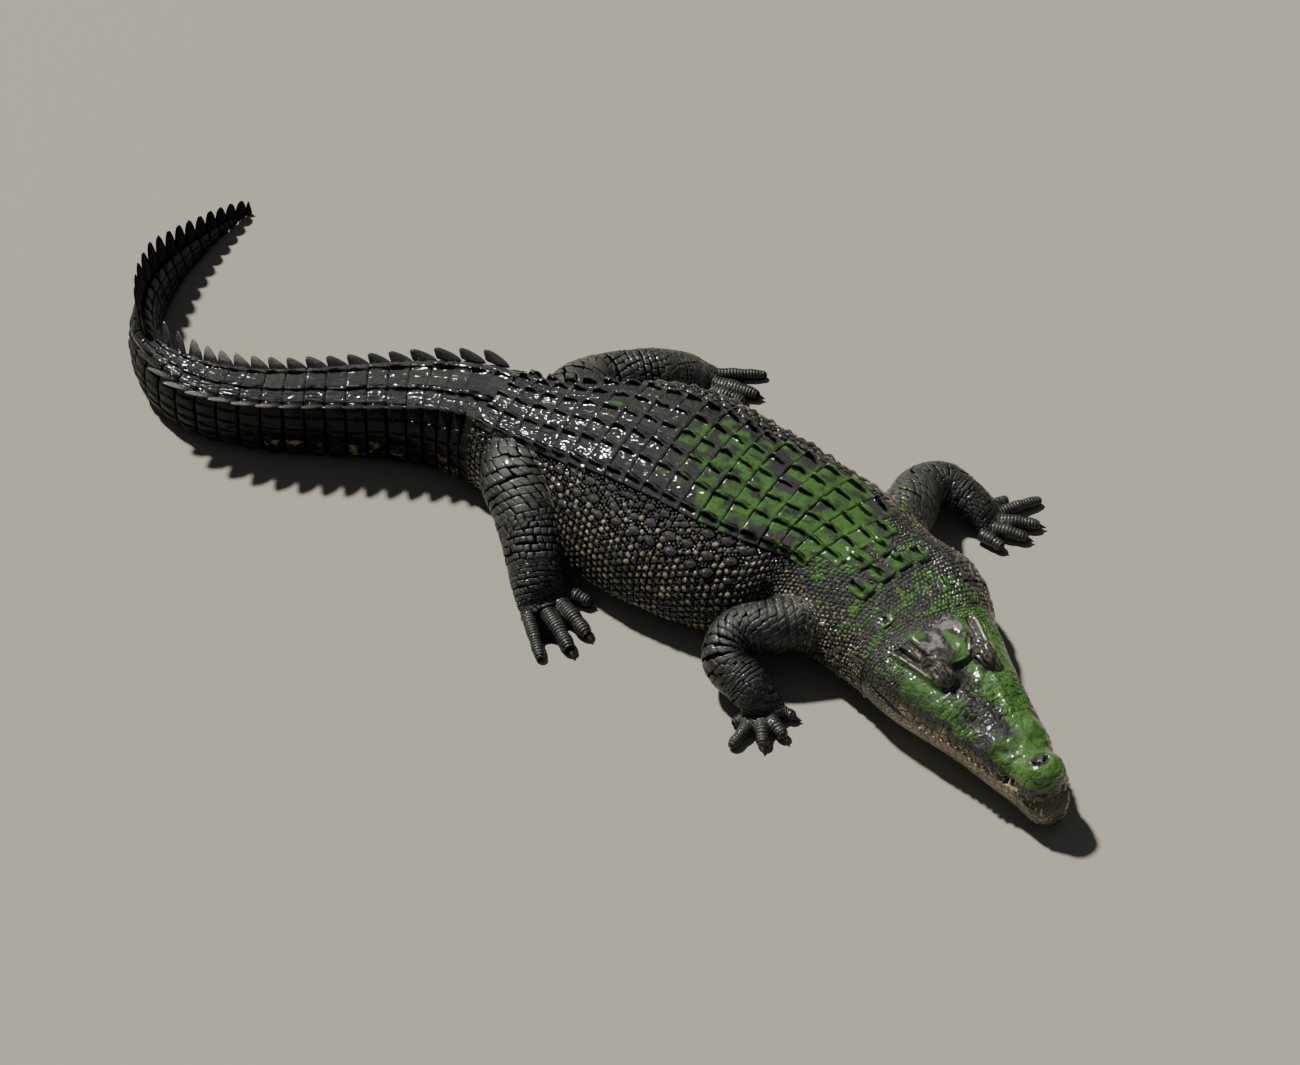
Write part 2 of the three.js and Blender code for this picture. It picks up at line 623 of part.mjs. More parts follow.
addPart('head', upperHead, ...GREEN_HIDE);
addPart('lower_jaw', lowerJaw, ...HIDE);
addPart('eye_left', eyeballs[0], 0x6b6a3a, 0.15);
addPart('eye_right', eyeballs[1], 0x6b6a3a, 0.15);
addPart('neck', bodyLength(HEAD_END + GAP / 2, NECK_END - GAP / 2), ...GREEN_HIDE);
addPart('trunk', bodyLength(NECK_END + GAP / 2, TRUNK_END - GAP / 2), ...HIDE);
tailLengths.forEach((solid, i) => addPart(`tail_${i + 1}`, solid, ...HIDE));
Object.entries(LEGS).forEach(([legName, leg]) => {
  const side = legName.split('_')[1];
  const { segments, claws } = buildLeg(leg);
  segments.forEach((solid, i) => addPart(`${leg.names[i]}_${side}`, solid, ...HIDE));
  claws.forEach((solid, i) => addPart(`claw_${legName}_${i + 1}`, solid, ...CLAW_HORN));
});

// Set the whole over the origin: the middle of its outline at X = Y = 0.
const middle = new THREE.Box3().setFromObject(group).getCenter(new THREE.Vector3());
group.children.forEach((part) => part.geometry.translate(-middle.x, -middle.y, 0));

export default group;
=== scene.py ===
"""The looks of a Siamese-type crocodile, 2.45 m long, lying on its belly with its tail curved round.

One skin stands for all the flesh of the CAD model. Scales, scutes, crests, teeth, claws and eyes
are separate solid pieces on it. The keys are in millimetres, as in the CAD source.
"""

import math

import bmesh
import bpy
import numpy as np
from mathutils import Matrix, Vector
from mathutils.bvhtree import BVHTree
from mathutils.kdtree import KDTree


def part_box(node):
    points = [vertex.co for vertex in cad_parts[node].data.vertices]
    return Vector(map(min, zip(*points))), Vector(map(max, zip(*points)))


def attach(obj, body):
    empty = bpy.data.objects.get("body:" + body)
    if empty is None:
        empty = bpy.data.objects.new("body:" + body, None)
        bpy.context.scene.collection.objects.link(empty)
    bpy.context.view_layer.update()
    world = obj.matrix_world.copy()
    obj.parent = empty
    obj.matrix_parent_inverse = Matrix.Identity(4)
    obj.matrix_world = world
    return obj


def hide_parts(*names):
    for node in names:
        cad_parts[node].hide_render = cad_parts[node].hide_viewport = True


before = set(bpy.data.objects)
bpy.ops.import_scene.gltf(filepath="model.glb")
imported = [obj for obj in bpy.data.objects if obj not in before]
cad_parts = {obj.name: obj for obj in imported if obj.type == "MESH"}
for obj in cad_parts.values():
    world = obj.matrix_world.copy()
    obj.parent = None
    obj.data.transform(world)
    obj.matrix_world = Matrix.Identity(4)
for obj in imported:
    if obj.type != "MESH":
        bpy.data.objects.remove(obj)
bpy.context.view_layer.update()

MM = 0.001

# ---------------------------------------------------------------------------
# Driving dimensions, the same as in the CAD source
# ---------------------------------------------------------------------------

TOTAL_LENGTH = 2455
HEAD_END = 352
TRUNK_END = 1235
SPINE_STEP = 5
SPINE_BENDS = [
    (0, -28.5), (370, -28.5), (440, -19), (570, -25), (690, -3), (800, -1), (1120, 1),
    (1240, -8), (1350, 12), (1450, 27), (1600, 28), (1740, 12), (1850, -14), (1930, -34),
    (2010, -56), (2100, -68), (2200, -80), (2300, -90), (2455, -97),
]
BODY_HALF_WIDTH = [
    (340, 127), (400, 150), (450, 160), (500, 158), (570, 165), (660, 187), (780, 214),
    (900, 224), (1000, 209), (1060, 170), (1120, 134), (1220, 108), (1330, 94), (1450, 80),
    (1600, 65), (1760, 55), (1880, 45), (1980, 32), (2080, 22), (2200, 16), (2320, 11),
    (2420, 7), (2455, 4),
]
BODY_TOP = [
    (340, 160), (400, 168), (480, 178), (580, 190), (680, 208), (800, 222), (920, 228),
    (1040, 220), (1140, 206), (1240, 192), (1340, 172), (1450, 156), (1600, 145), (1760, 137),
    (1880, 130), (1980, 118), (2100, 99), (2200, 77), (2300, 53), (2400, 30), (2455, 12),
]
BODY_BOTTOM = [
    (340, 10), (400, 2), (500, -8), (700, -14), (1150, -14), (1300, -8), (1600, -4), (2455, -2),
]
BODY_WAIST = [(340, 0.42), (600, 0.32), (900, 0.3), (1200, 0.38), (1500, 0.46), (2455, 0.42)]
BODY_SQUARENESS = [
    (340, 2.3), (600, 2.3), (1000, 2.5), (1250, 2.6), (1500, 2.9), (1850, 2.9), (2000, 2.4),
    (2455, 2),
]
BELLY_SQUARENESS = [(340, 2.3), (700, 2.1), (1100, 2.1), (1500, 2.9), (2000, 2.4), (2455, 2)]
BODY_SIDE = [
    (340, 8), (400, 26), (450, 36), (520, 28), (600, 16), (680, 2), (790, -3), (880, 4),
    (1000, 10), (1110, 6), (1230, 0), (1330, 0), (1500, 6), (1720, 6), (1860, 0),
]
BODY_LEAN = [(1850, 0), (2000, -0.1), (2150, -0.16), (2455, -0.12)]

CREST_START = 1250
CREST_MERGE = 1934
CREST_END = 2450
WHORL_PITCH = [(CREST_START, 36), (CREST_MERGE, 36), (CREST_END, 26)]
CREST_HEIGHT = [(1934, 38), (2020, 50), (2120, 54), (2220, 44), (2320, 32), (2440, 16)]
SCUTE_MIDDLE = 0.48     # place of a crest scute in its whorl
SCUTE_ROOT = 8          # how deep it stands in the flesh
CREST_STANCE = {1: (0.55, 0.4), -1: (0.42, 1.0)}        # rise and lean of each side's crest: the tail rolls

UPPER_HALF_WIDTH = [
    (0, 12), (8, 28), (24, 41), (42, 43), (60, 40), (84, 53), (112, 65), (140, 70), (175, 79),
    (215, 91), (255, 102), (300, 114), (352, 122),
]
LIP_HEIGHT = [
    (0, 79), (20, 75), (60, 86), (110, 80), (160, 86), (220, 78), (270, 84), (300, 94), (352, 102),
]
UPPER_TOP = [
    (0, 100), (8, 118), (24, 128), (44, 130), (66, 122), (110, 128), (160, 138), (200, 146),
    (240, 152), (300, 160), (352, 164),
]
UPPER_SQUARENESS = [(0, 2.2), (40, 2.9), (150, 2.5), (240, 2.6), (352, 2.6)]
JAW_HALF_WIDTH = [
    (-14, 14), (-4, 28), (14, 40), (60, 49), (110, 61), (160, 73), (215, 86), (260, 101),
    (300, 115), (352, 126),
]
JAW_TOP = [
    (-14, 58), (20, 66), (60, 79), (110, 77), (160, 83), (220, 77), (270, 83), (300, 93), (352, 101),
]
JAW_BOTTOM = [(-14, 26), (-2, 13), (20, 8), (80, 12), (160, 13), (240, 8), (300, 4), (352, 3)]
EYE = {"s": 264, "left": 49, "height": 156, "radius": 13}
LID = {"s": 262, "left": 40, "height": 152, "radii": (36, 20, 22)}
NASAL_DISC = {"s": 32, "height": 120, "radii": (30, 33, 16)}
SKULL_TABLE = [
    (262, 34, 156, 163), (284, 42, 158, 171), (305, 46, 158, 174), (338, 49, 158, 174),
    (362, 44, 156, 167),
]

# Legs: a chain of centres with half width and half thickness, then the digits as root, tip and size.
LEGS = {
    "fore_right": {
        "names": ("upper_arm", "forearm", "hand"),
        "chain": [
            (388, -110, 86, 54, 52), (328, -168, 88, 47, 48), (278, -212, 82, 42, 46),
            (284, -256, 66, 41, 43), (333, -273, 47, 40, 36), (360, -281, 32, 38, 26),
            (371, -289, 20, 40, 17), (378, -298, 13, 37, 12),
        ],
        "digits": [
            (388, -271, 433, -265, 0.8), (391, -297, 437, -321, 0.85), (382, -314, 410, -360, 0.85),
            (363, -321, 358, -377, 0.75), (348, -312, 336, -330, 0.72),
        ],
        "webs": [],
    },
    "fore_left": {
        "names": ("upper_arm", "forearm", "hand"),
        "chain": [
            (396, 110, 92, 56, 56), (398, 188, 84, 50, 50), (386, 256, 67, 43, 43),
            (408, 296, 54, 44, 42), (448, 300, 42, 40, 34), (482, 298, 30, 36, 25),
            (498, 300, 19, 42, 17), (511, 303, 13, 38, 12),
        ],
        "digits": [
            (516, 257, 562, 249, 0.8), (523, 283, 589, 295, 0.85), (521, 306, 593, 336, 0.85),
            (512, 328, 556, 391, 0.75), (495, 342, 505, 364, 0.72),
        ],
        "webs": [],
    },
    "hind_right": {
        "names": ("thigh", "shank", "foot"),
        "chain": [
            (-215, -35, 120, 70, 60), (-202, -95, 121, 68, 55), (-162, -138, 104, 62, 52),
            (-134, -170, 82, 56, 48), (-109, -202, 59, 51, 44), (-86, -230, 38, 49, 32),
            (-68, -242, 22, 52, 19), (-52, -252, 14, 49, 12),
        ],
        "digits": [
            (-40, -205, 13, -204, 0.9), (-31, -240, 43, -277, 1), (-44, -268, 35, -324, 1),
            (-73, -288, -10, -356, 0.78),
        ],
        "webs": [(1, 0.5), (2, 0.72)],
    },
    "hind_left": {
        "names": ("thigh", "shank", "foot"),
        "chain": [
            (-195, 60, 120, 70, 60), (-214, 128, 118, 62, 56), (-224, 198, 86, 52, 50),
            (-190, 254, 73, 49, 47), (-148, 306, 59, 47, 43), (-113, 349, 39, 43, 32),
            (-92, 362, 22, 45, 18), (-76, 367, 14, 42, 12),
        ],
        "digits": [
            (-54, 337, -22, 338, 0.8), (-58, 353, 6, 358, 0.9), (-70, 373, 20, 387, 0.9),
            (-90, 393, -6, 442, 0.72),
        ],
        "webs": [(1, 0.5), (2, 0.72)],
    },
}
DIGIT_RADII = [(0, 14), (0.4, 13), (0.72, 12), (1, 9.5)]
DIGIT_ARCH = [(0, 14), (0.4, 16), (0.72, 13), (1, 9)]
ROOT_DEPTH = 14
CLAWED_DIGITS = 3
CLAW_LENGTH = 11
CLAW_RADIUS = 4.5

# ---------------------------------------------------------------------------
# Small tools
# ---------------------------------------------------------------------------


def along(keys, t):
    """Smooth monotone interpolation through (position, value) keys."""
    x, y = np.array(keys, float).T
    t = np.clip(np.asarray(t, float), x[0], x[-1])
    slope = np.diff(y) / np.diff(x)
    product = slope[:-1] * slope[1:]
    total = np.where(product > 0, slope[:-1] + slope[1:], 1.0)
    tangent = np.concatenate([slope[:1], np.where(product > 0, 2 * product / total, 0.0), slope[-1:]])
    i = np.clip(np.searchsorted(x, t, side="right") - 1, 0, len(x) - 2)
    width = x[i + 1] - x[i]
    f = (t - x[i]) / width
    rise = y[i + 1] - y[i]
    a = tangent[i] * width
    b = tangent[i + 1] * width
    return y[i] + f * (a + f * ((3 * rise - 2 * a - b) + f * (a + b - 2 * rise)))


def smoothstep(low, high, x):
    t = np.clip((np.asarray(x, float) - low) / (high - low), 0, 1)
    return t * t * (3 - 2 * t)


def bell(x, width):
    return np.exp(-((np.asarray(x, float) / width) ** 2))


def window(x, start, full, fading, end):
    """Rises from 0 at start to 1 at full, and falls again between fading and end."""
    return smoothstep(start, full, x) * smoothstep(end, fading, x)


def spot(x, x_width, y, y_width):
    """A soft bump, 1 in its middle."""
    return np.exp(-((x / x_width) ** 2) - (y / y_width) ** 2)


def signed_power(x, power):
    return np.sign(x) * np.abs(x) ** power


def mix(a, b, t):
    return a + (b - a) * t


def distances(line):
    """How far each point lies along a line of points."""
    return np.concatenate([[0], np.cumsum(np.linalg.norm(np.diff(line, axis=0), axis=1))])


def hashed(cells, seed):
    """A number from 0 to 1 for each row of whole numbers."""
    turned = cells @ np.array([127.1, 311.7, 74.7][: cells.shape[-1]]) + seed * 19.19
    return np.modf(np.abs(np.sin(turned) * 43758.5453))[0]


def noise(points, size, seed=0):
    """Smooth value noise from 0 to 1, with blobs of the given size."""
    p = np.asarray(points, float) / size
    base = np.floor(p)
    f = p - base
    f = f * f * (3 - 2 * f)
    total = 0
    for corner in np.ndindex(*(2,) * p.shape[-1]):
        corner = np.array(corner)
        weight = np.prod(np.where(corner == 1, f, 1 - f), axis=-1)
        total = total + weight * hashed(base + corner, seed)
    return total


def cracks(points, size, seed=0):
    """Distance to the border of irregular cells: 0 on a border, about 1 inside a cell. 2-D or 3-D."""
    p = np.asarray(points, float) / size
    base = np.floor(p)
    nearest = np.full(p.shape[:-1], 9.0)
    second = np.full(p.shape[:-1], 9.0)
    for offset in np.ndindex(*(3,) * p.shape[-1]):
        cell = base + np.array(offset) - 1
        jitter = np.stack([hashed(cell, seed + 7 * k) for k in range(p.shape[-1])], -1)
        gap = np.linalg.norm(cell + 0.15 + 0.7 * jitter - p, axis=-1)
        second = np.minimum(second, np.maximum(nearest, gap))
        nearest = np.minimum(nearest, gap)
    return np.clip((second - nearest) * 1.6, 0, 1)


# The spine as a walk in small steps, so that every station has a place and a heading.
spine_s = np.arange(0, TOTAL_LENGTH + 1, SPINE_STEP)
spine_bend = np.radians(along(SPINE_BENDS, spine_s))
spine_x = -SPINE_STEP * np.concatenate([[0], np.cumsum(np.cos(spine_bend))[:-1]])
spine_y = -SPINE_STEP * np.concatenate([[0], np.cumsum(np.sin(spine_bend))[:-1]])


def place(s, left, height):
    """A point given by distance from the snout tip, distance to the left, and height, in mm."""
    s, left, height = np.broadcast_arrays(*(np.asarray(v, float) for v in (s, left, height)))
    bend = np.radians(along(SPINE_BENDS, s))
    ahead = np.minimum(s, 0)
    x = np.interp(s, spine_s, spine_x) - ahead * np.cos(bend) - left * np.sin(bend)
    y = np.interp(s, spine_s, spine_y) - ahead * np.sin(bend) + left * np.cos(bend)
    return np.stack([x + spine_offset[0], y + spine_offset[1], height], -1)


# The CAD part is centred over the origin: its eye says where the spine starts.
spine_offset = np.zeros(2)
eye_low, eye_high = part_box("eye_left")
eye_centre = np.array((eye_low + eye_high) / 2) / MM
spine_offset = (eye_centre - place(EYE["s"], EYE["left"], EYE["height"]))[:2]

# The leg chains are given about an origin that the trunk passes at a set station.
SPINE_ANCHOR = {"s": 900, "x": 53, "y": 12}
leg_offset = place(SPINE_ANCHOR["s"], 0, 0)[:2] - (SPINE_ANCHOR["x"], SPINE_ANCHOR["y"])

HEAD_BEND = math.radians(SPINE_BENDS[0][1])
HEAD_FORWARD = np.array([math.cos(HEAD_BEND), math.sin(HEAD_BEND), 0])
HEAD_LEFT = np.array([-math.sin(HEAD_BEND), math.cos(HEAD_BEND), 0])
snout_tip = place(0, 0, 0)


def head_coordinates(points):
    """Distance from the snout tip, distance to the left, and height, for points on the head."""
    from_tip = points - snout_tip
    return -(from_tip @ HEAD_FORWARD), from_tip @ HEAD_LEFT, points[:, 2]


class Sheet:
    """A patch of skin as a grid of points and normals, looked up by two coordinates from 0 to 1."""

    def __init__(self, points, chart):
        self.points = points
        self.chart = chart
        across = np.cross(np.gradient(points, axis=0), np.gradient(points, axis=1))
        length = np.linalg.norm(across, axis=-1, keepdims=True)
        normals = across / np.maximum(length, 1e-9)
        outward = points - points.mean(axis=1, keepdims=True)
        if np.sum(normals * outward) < 0:
            normals = -normals
        self.normals = normals

    def at(self, u, v):
        rows, columns = self.points.shape[:2]
        x = np.clip(u, 0, 1) * (rows - 1)
        y = np.clip(v, 0, 1) * (columns - 1)
        i = np.minimum(x.astype(int), rows - 2)
        j = np.minimum(y.astype(int), columns - 2)
        fx = (x - i)[..., None]
        fy = (y - j)[..., None]
        found = []
        for grid in (self.points, self.normals):
            near = mix(grid[i, j], grid[i + 1, j], fx)
            far = mix(grid[i, j + 1], grid[i + 1, j + 1], fx)
            found.append(mix(near, far, fy))
        point, normal = found
        return point, normal / np.maximum(np.linalg.norm(normal, axis=-1, keepdims=True), 1e-9)


def even_columns(points, count):
    """Each row of points, spread again at even distances. Also gives the length of each row."""
    rows = []
    lengths = []
    for row in points:
        travelled = distances(row)
        at = np.linspace(0, travelled[-1], count)
        rows.append(np.stack([np.interp(at, travelled, row[:, k]) for k in range(3)], -1))
        lengths.append(travelled[-1])
    return np.array(rows), np.array(lengths)


# ---------------------------------------------------------------------------
# Surfaces: body, head, legs
# ---------------------------------------------------------------------------

BODY_INSET = 4.5        # how far the skin lies inside the body's outline
HEAD_INSET = 1.5
LIMB_INSET = 2.2
DIGIT_INSET = -0.9      # toes are grown a little: smoothing thins them
BODY_FROM = 330
BODY_ROWS = 850
SIDE_COLUMNS = 121


def body_points(s, angle, inset):
    half = np.maximum(along(BODY_HALF_WIDTH, s) - inset, 2)
    top = along(BODY_TOP, s) - inset
    bottom = along(BODY_BOTTOM, s) + inset
    waist = bottom + (top - bottom) * along(BODY_WAIST, s)
    upper = np.sin(angle) > 0
    power = 2 / np.where(upper, along(BODY_SQUARENESS, s), along(BELLY_SQUARENESS, s))
    across = signed_power(np.cos(angle), power)
    rise = signed_power(np.sin(angle), power)
    height = waist + rise * np.where(upper, top - waist, waist - bottom)
    left = along(BODY_SIDE, s) + across * half + along(BODY_LEAN, s) * height
    return place(s, left, height)


body_stations = np.linspace(BODY_FROM, TOTAL_LENGTH, BODY_ROWS)
quarter_turns = np.linspace(math.pi / 2, -math.pi / 2, 241)
left_side, left_arc = even_columns(
    body_points(body_stations[:, None], quarter_turns[None, :], BODY_INSET), SIDE_COLUMNS)
right_side, right_arc = even_columns(
    body_points(body_stations[:, None], math.pi - quarter_turns[None, :], BODY_INSET), SIDE_COLUMNS)
body_sheet = Sheet(np.concatenate([right_side[:, ::-1], left_side[:, 1:]], axis=1), (0, 0, 1, 1))


def half_round(s, arc):
    """Distance from the back's ridge to the belly's middle line, on the side that arc says."""
    return np.where(arc > 0, np.interp(s, body_stations, left_arc), np.interp(s, body_stations, right_arc))


def body_uv(s, arc):
    """Sheet coordinates of a place on the body: station, and distance round from the back's ridge."""
    u = (s - BODY_FROM) / (TOTAL_LENGTH - BODY_FROM)
    return u, 0.5 + 0.5 * np.clip(arc / half_round(s, arc), -1, 1)


def upper_head_points(s, angle, inset):
    half = along(UPPER_HALF_WIDTH, s) - inset
    lip = along(LIP_HEIGHT, s)
    top = along(UPPER_TOP, s) - inset
    power = 2 / along(UPPER_SQUARENESS, s)
    across = signed_power(np.cos(angle), power)
    return place(s, across * half, lip + (top - lip) * np.abs(np.sin(angle)) ** power)


def jaw_points(s, angle, inset):
    half = along(JAW_HALF_WIDTH, s) - inset
    edge = np.minimum(along(JAW_TOP, s), along(LIP_HEIGHT, s) - 0.5)
    bottom = along(JAW_BOTTOM, s) + inset
    across = signed_power(np.cos(angle), 0.8)
    return place(s, across * half, edge - (edge - bottom) * np.abs(np.sin(angle)) ** 0.8)


def chain_curve(chain, at):
    """Centripetal Catmull-Rom curve through the chain's centres, as the CAD source uses."""
    points = np.array([row[:3] for row in chain], float)
    padded = np.concatenate([[2 * points[0] - points[1]], points, [2 * points[-1] - points[-2]]])
    i = np.clip(np.floor(at).astype(int), 0, len(points) - 2)
    f = (at - i)[:, None]
    p0, p1, p2, p3 = (padded[i + k] for k in range(4))
    gap = [np.sum((b - a) ** 2, -1, keepdims=True) ** 0.25 for a, b in ((p0, p1), (p1, p2), (p2, p3))]
    m1 = ((p1 - p0) / gap[0] - (p2 - p0) / (gap[0] + gap[1]) + (p2 - p1) / gap[1]) * gap[1]
    m2 = ((p2 - p1) / gap[1] - (p3 - p1) / (gap[1] + gap[2]) + (p3 - p2) / gap[2]) * gap[1]
    return p1 + f * (m1 + f * ((3 * (p2 - p1) - 2 * m1 - m2) + f * (m1 + m2 - 2 * (p2 - p1))))


def oval_rings(centres, half, thick, sides):
    """Rings square to a line of centres. They start and end below, so that the top is half way round."""
    direction = np.gradient(centres, axis=0)
    direction /= np.linalg.norm(direction, axis=1, keepdims=True)
    across = np.cross([0, 0, 1], direction)
    across /= np.linalg.norm(across, axis=1, keepdims=True)
    rise = np.cross(direction, across)
    angle = np.linspace(math.pi * 1.5, -math.pi * 0.5, sides + 1)
    wide = half[:, None, None] * np.cos(angle)[None, :, None] * across[:, None]
    tall = thick[:, None, None] * np.sin(angle)[None, :, None] * rise[:, None]
    return centres[:, None] + wide + tall


LIMB_ROWS = 90
LIMB_COLUMNS = 72


def limb_rings(leg):
    chain = leg["chain"]
    at = np.linspace(0, len(chain) - 1, LIMB_ROWS)
    index = np.arange(len(chain))
    centres = chain_curve(chain, at)
    centres[:, :2] += leg_offset
    half = along([(i, row[3]) for i, row in zip(index, chain)], at) - LIMB_INSET
    thick = along([(i, row[4]) for i, row in zip(index, chain)], at) - LIMB_INSET
    return oval_rings(centres, half, thick, LIMB_COLUMNS)


DIGIT_ROWS = 40
DIGIT_COLUMNS = 28


def digit_line(ends, clawed, t):
    root = np.array(ends[:2], float) + leg_offset
    tip = np.array(ends[2:4], float) + leg_offset
    direction = (tip - root) / np.linalg.norm(tip - root)
    root = root - direction * ROOT_DEPTH
    if clawed:
        tip = tip - direction * CLAW_LENGTH
    xy = mix(root, tip, np.asarray(t, float)[:, None])
    return np.concatenate([xy, along(DIGIT_ARCH, t)[:, None] * ends[4]], 1), direction


def digit_rings(ends, clawed):
    """A toe, a little swollen at its joints and round at its end."""
    t = 1 - (1 - np.linspace(0, 1, DIGIT_ROWS)) ** 1.6
    centres, _ = digit_line(ends, clawed, t)
    length = np.linalg.norm(centres[-1] - centres[0])
    radius = along(DIGIT_RADII, t) * ends[4] - DIGIT_INSET
    radius = radius * (
        1 + 0.08 * bell(t - 0.45, 0.08) + 0.08 * bell(t - 0.78, 0.07) - 0.07 * bell(t - 0.62, 0.07)
    )
    to_end = np.maximum((1 - t) * length, 0) / (0.8 * radius)
    radius = radius * np.sqrt(np.clip(1 - (1 - np.minimum(to_end, 1)) ** 2, 0.04, 1))
    return oval_rings(centres, radius, radius, DIGIT_COLUMNS)


# ---------------------------------------------------------------------------
# The skin: every surface fused into one
# ---------------------------------------------------------------------------


def tube_faces(rows, sides):
    """The numbered points of a tube's rings, and the quads between them."""
    index = np.arange(rows * sides).reshape(rows, sides)
    ahead = np.roll(index, -1, axis=1)
    return index, np.stack([index[:-1], ahead[:-1], ahead[1:], index[1:]], -1).reshape(-1, 4)


def closed_tube(rings):
    """Points and faces of a closed tube. Each ring's last point repeats its first."""
    rings = rings[:, :-1]
    index, quads = tube_faces(*rings.shape[:2])
    faces = [tuple(q) for q in quads]
    faces.append(tuple(index[0][::-1]))
    faces.append(tuple(index[-1]))
    return rings.reshape(-1, 3), faces


def ellipsoid_rings(s, left, height, radii):
    t = np.linspace(0.02, math.pi - 0.02, 28)[:, None]
    turn = np.linspace(0, 2 * math.pi, 41)[None, :]
    along_spine = radii[0] * np.cos(t) + 0 * turn
    return place(s + along_spine, left + radii[1] * np.sin(t) * np.cos(turn),
                 height + radii[2] * np.sin(t) * np.sin(turn))


def ring_with_flat(arc, flat):
    """A ring from an arc and the straight line that closes it."""
    return np.concatenate([arc, flat, arc[:, :1]], axis=1)


def skin_shapes():
    shapes = []
    stations = np.linspace(BODY_FROM, TOTAL_LENGTH, 330)
    turn = np.linspace(0, 2 * math.pi, 121)
    shapes.append(body_points(stations[:, None], turn[None, :], BODY_INSET))
    half_turn = np.linspace(0, math.pi, 61)
    upper_s = np.concatenate([np.linspace(0.5, 40, 24), np.linspace(44, HEAD_END + 20, 80)])
    arc = upper_head_points(upper_s[:, None], half_turn[None, :], HEAD_INSET)
    lip = along(LIP_HEIGHT, upper_s)
    share = np.linspace(-0.9, 0.9, 9)[None, :]
    half = (along(UPPER_HALF_WIDTH, upper_s) - HEAD_INSET)[:, None]
    palate = place(upper_s[:, None], share * half, lip[:, None] + 1)
    shapes.append(ring_with_flat(arc, palate))
    jaw_s = np.concatenate([np.linspace(-13.5, 20, 24), np.linspace(24, HEAD_END + 20, 80)])
    arc = jaw_points(jaw_s[:, None], half_turn[None, :], HEAD_INSET)
    edge = np.minimum(along(JAW_TOP, jaw_s), along(LIP_HEIGHT, jaw_s) - 0.5)
    half = (along(JAW_HALF_WIDTH, jaw_s) - HEAD_INSET)[:, None]
    shapes.append(ring_with_flat(arc, place(jaw_s[:, None], share * half, edge[:, None] - 1)))
    lid_radii = np.array(LID["radii"]) - 1
    for sign in (1, -1):
        shapes.append(ellipsoid_rings(LID["s"], sign * LID["left"], LID["height"], lid_radii))
    disc_radii = np.array(NASAL_DISC["radii"]) - 1
    shapes.append(ellipsoid_rings(NASAL_DISC["s"], 0, NASAL_DISC["height"], disc_radii))
    table_s, table_half, table_low, table_high = np.array(SKULL_TABLE, float).T
    over = [(1, 0), (0.99, 0.5), (0.94, 0.78), (0.84, 0.93), (0.66, 1), (0.3, 1)]
    outline = [*over, *((-a, c) for a, c in reversed(over)), (1, 0)]
    table = [place(table_s, table_half * a, mix(table_low - 4, table_high - 0.5, c)) for a, c in outline]
    shapes.append(np.stack(table, axis=1))
    for leg in LEGS.values():
        shapes.append(limb_rings(leg))
        shapes.extend(digit_rings(ends, i < CLAWED_DIGITS) for i, ends in enumerate(leg["digits"]))
        shapes.extend(web_rings(leg["digits"][i], leg["digits"][i + 1], reach) for i, reach in leg["webs"])
    return shapes


def web_rings(ends_a, ends_b, reach):
    """Skin stretched between two toes, with a hollow edge, as a thin slab."""
    t = np.linspace(0, 1, 16)
    roots = [np.array(e[:2], float) + leg_offset for e in (ends_a, ends_b)]
    ends = [np.array(e[2:4], float) + leg_offset for e in (ends_a, ends_b)]
    tips = [mix(root, end, reach) for root, end in zip(roots, ends)]
    depth = [ROOT_DEPTH / np.linalg.norm(end - root) for root, end in zip(roots, ends)]
    roots = [mix(root, end, -share) for root, end, share in zip(roots, ends, depth)]
    inner = mix(roots[0], roots[1], t[:, None])
    outer = mix(tips[0], tips[1], t[:, None])
    outer = mix(outer, inner, 0.92 * (t * (1 - t))[:, None])
    low, high = 1.5, 7.0
    rings = []
    for a, b in zip(inner, outer):
        corners = [(*a, low), (*b, low), (*b, high), (*a, high), (*a, low)]
        rings.append(corners)
    return np.array(rings)


def new_mesh(name, points, faces):
    mesh = bpy.data.meshes.new(name)
    mesh.from_pydata((np.asarray(points, float) * MM).tolist(), [], faces)
    mesh.validate()
    mesh.polygons.foreach_set("use_smooth", [True] * len(mesh.polygons))
    mesh.update()
    piece = bpy.data.objects.new(name, mesh)
    bpy.context.scene.collection.objects.link(piece)
    return piece


def apply_modifiers(piece):
    bpy.context.view_layer.update()
    evaluated = piece.evaluated_get(bpy.context.evaluated_depsgraph_get())
    mesh = bpy.data.meshes.new_from_object(evaluated)
    old = piece.data
    piece.modifiers.clear()
    piece.data = mesh
    bpy.data.meshes.remove(old)


def vertex_array(mesh, what="co"):
    values = np.empty(len(mesh.vertices) * 3, np.float32)
    mesh.vertices.foreach_get(what, values)
    return values.reshape(-1, 3).astype(float)


def set_vertices(mesh, points):
    mesh.vertices.foreach_set("co", (points * MM).astype(np.float32).ravel())
    mesh.update()


VOXEL = 2.8 * MM
SMOOTH_ROUNDS = 5

all_points = []
all_faces = []
for rings in skin_shapes():
    points, faces = closed_tube(rings)
    start = sum(len(p) for p in all_points)
    all_points.append(points)
    all_faces.extend(tuple(int(i) + start for i in f) for f in faces)
fused_points = np.concatenate(all_points)
fused_points[:, 2] = np.maximum(fused_points[:, 2], -4)
skin = new_mesh("skin", fused_points, all_faces)
remesh = skin.modifiers.new("remesh", "REMESH")
remesh.mode = "VOXEL"
remesh.voxel_size = VOXEL
smoothing = skin.modifiers.new("smooth", "SMOOTH")
smoothing.factor = 0.5
smoothing.iterations = SMOOTH_ROUNDS
apply_modifiers(skin)


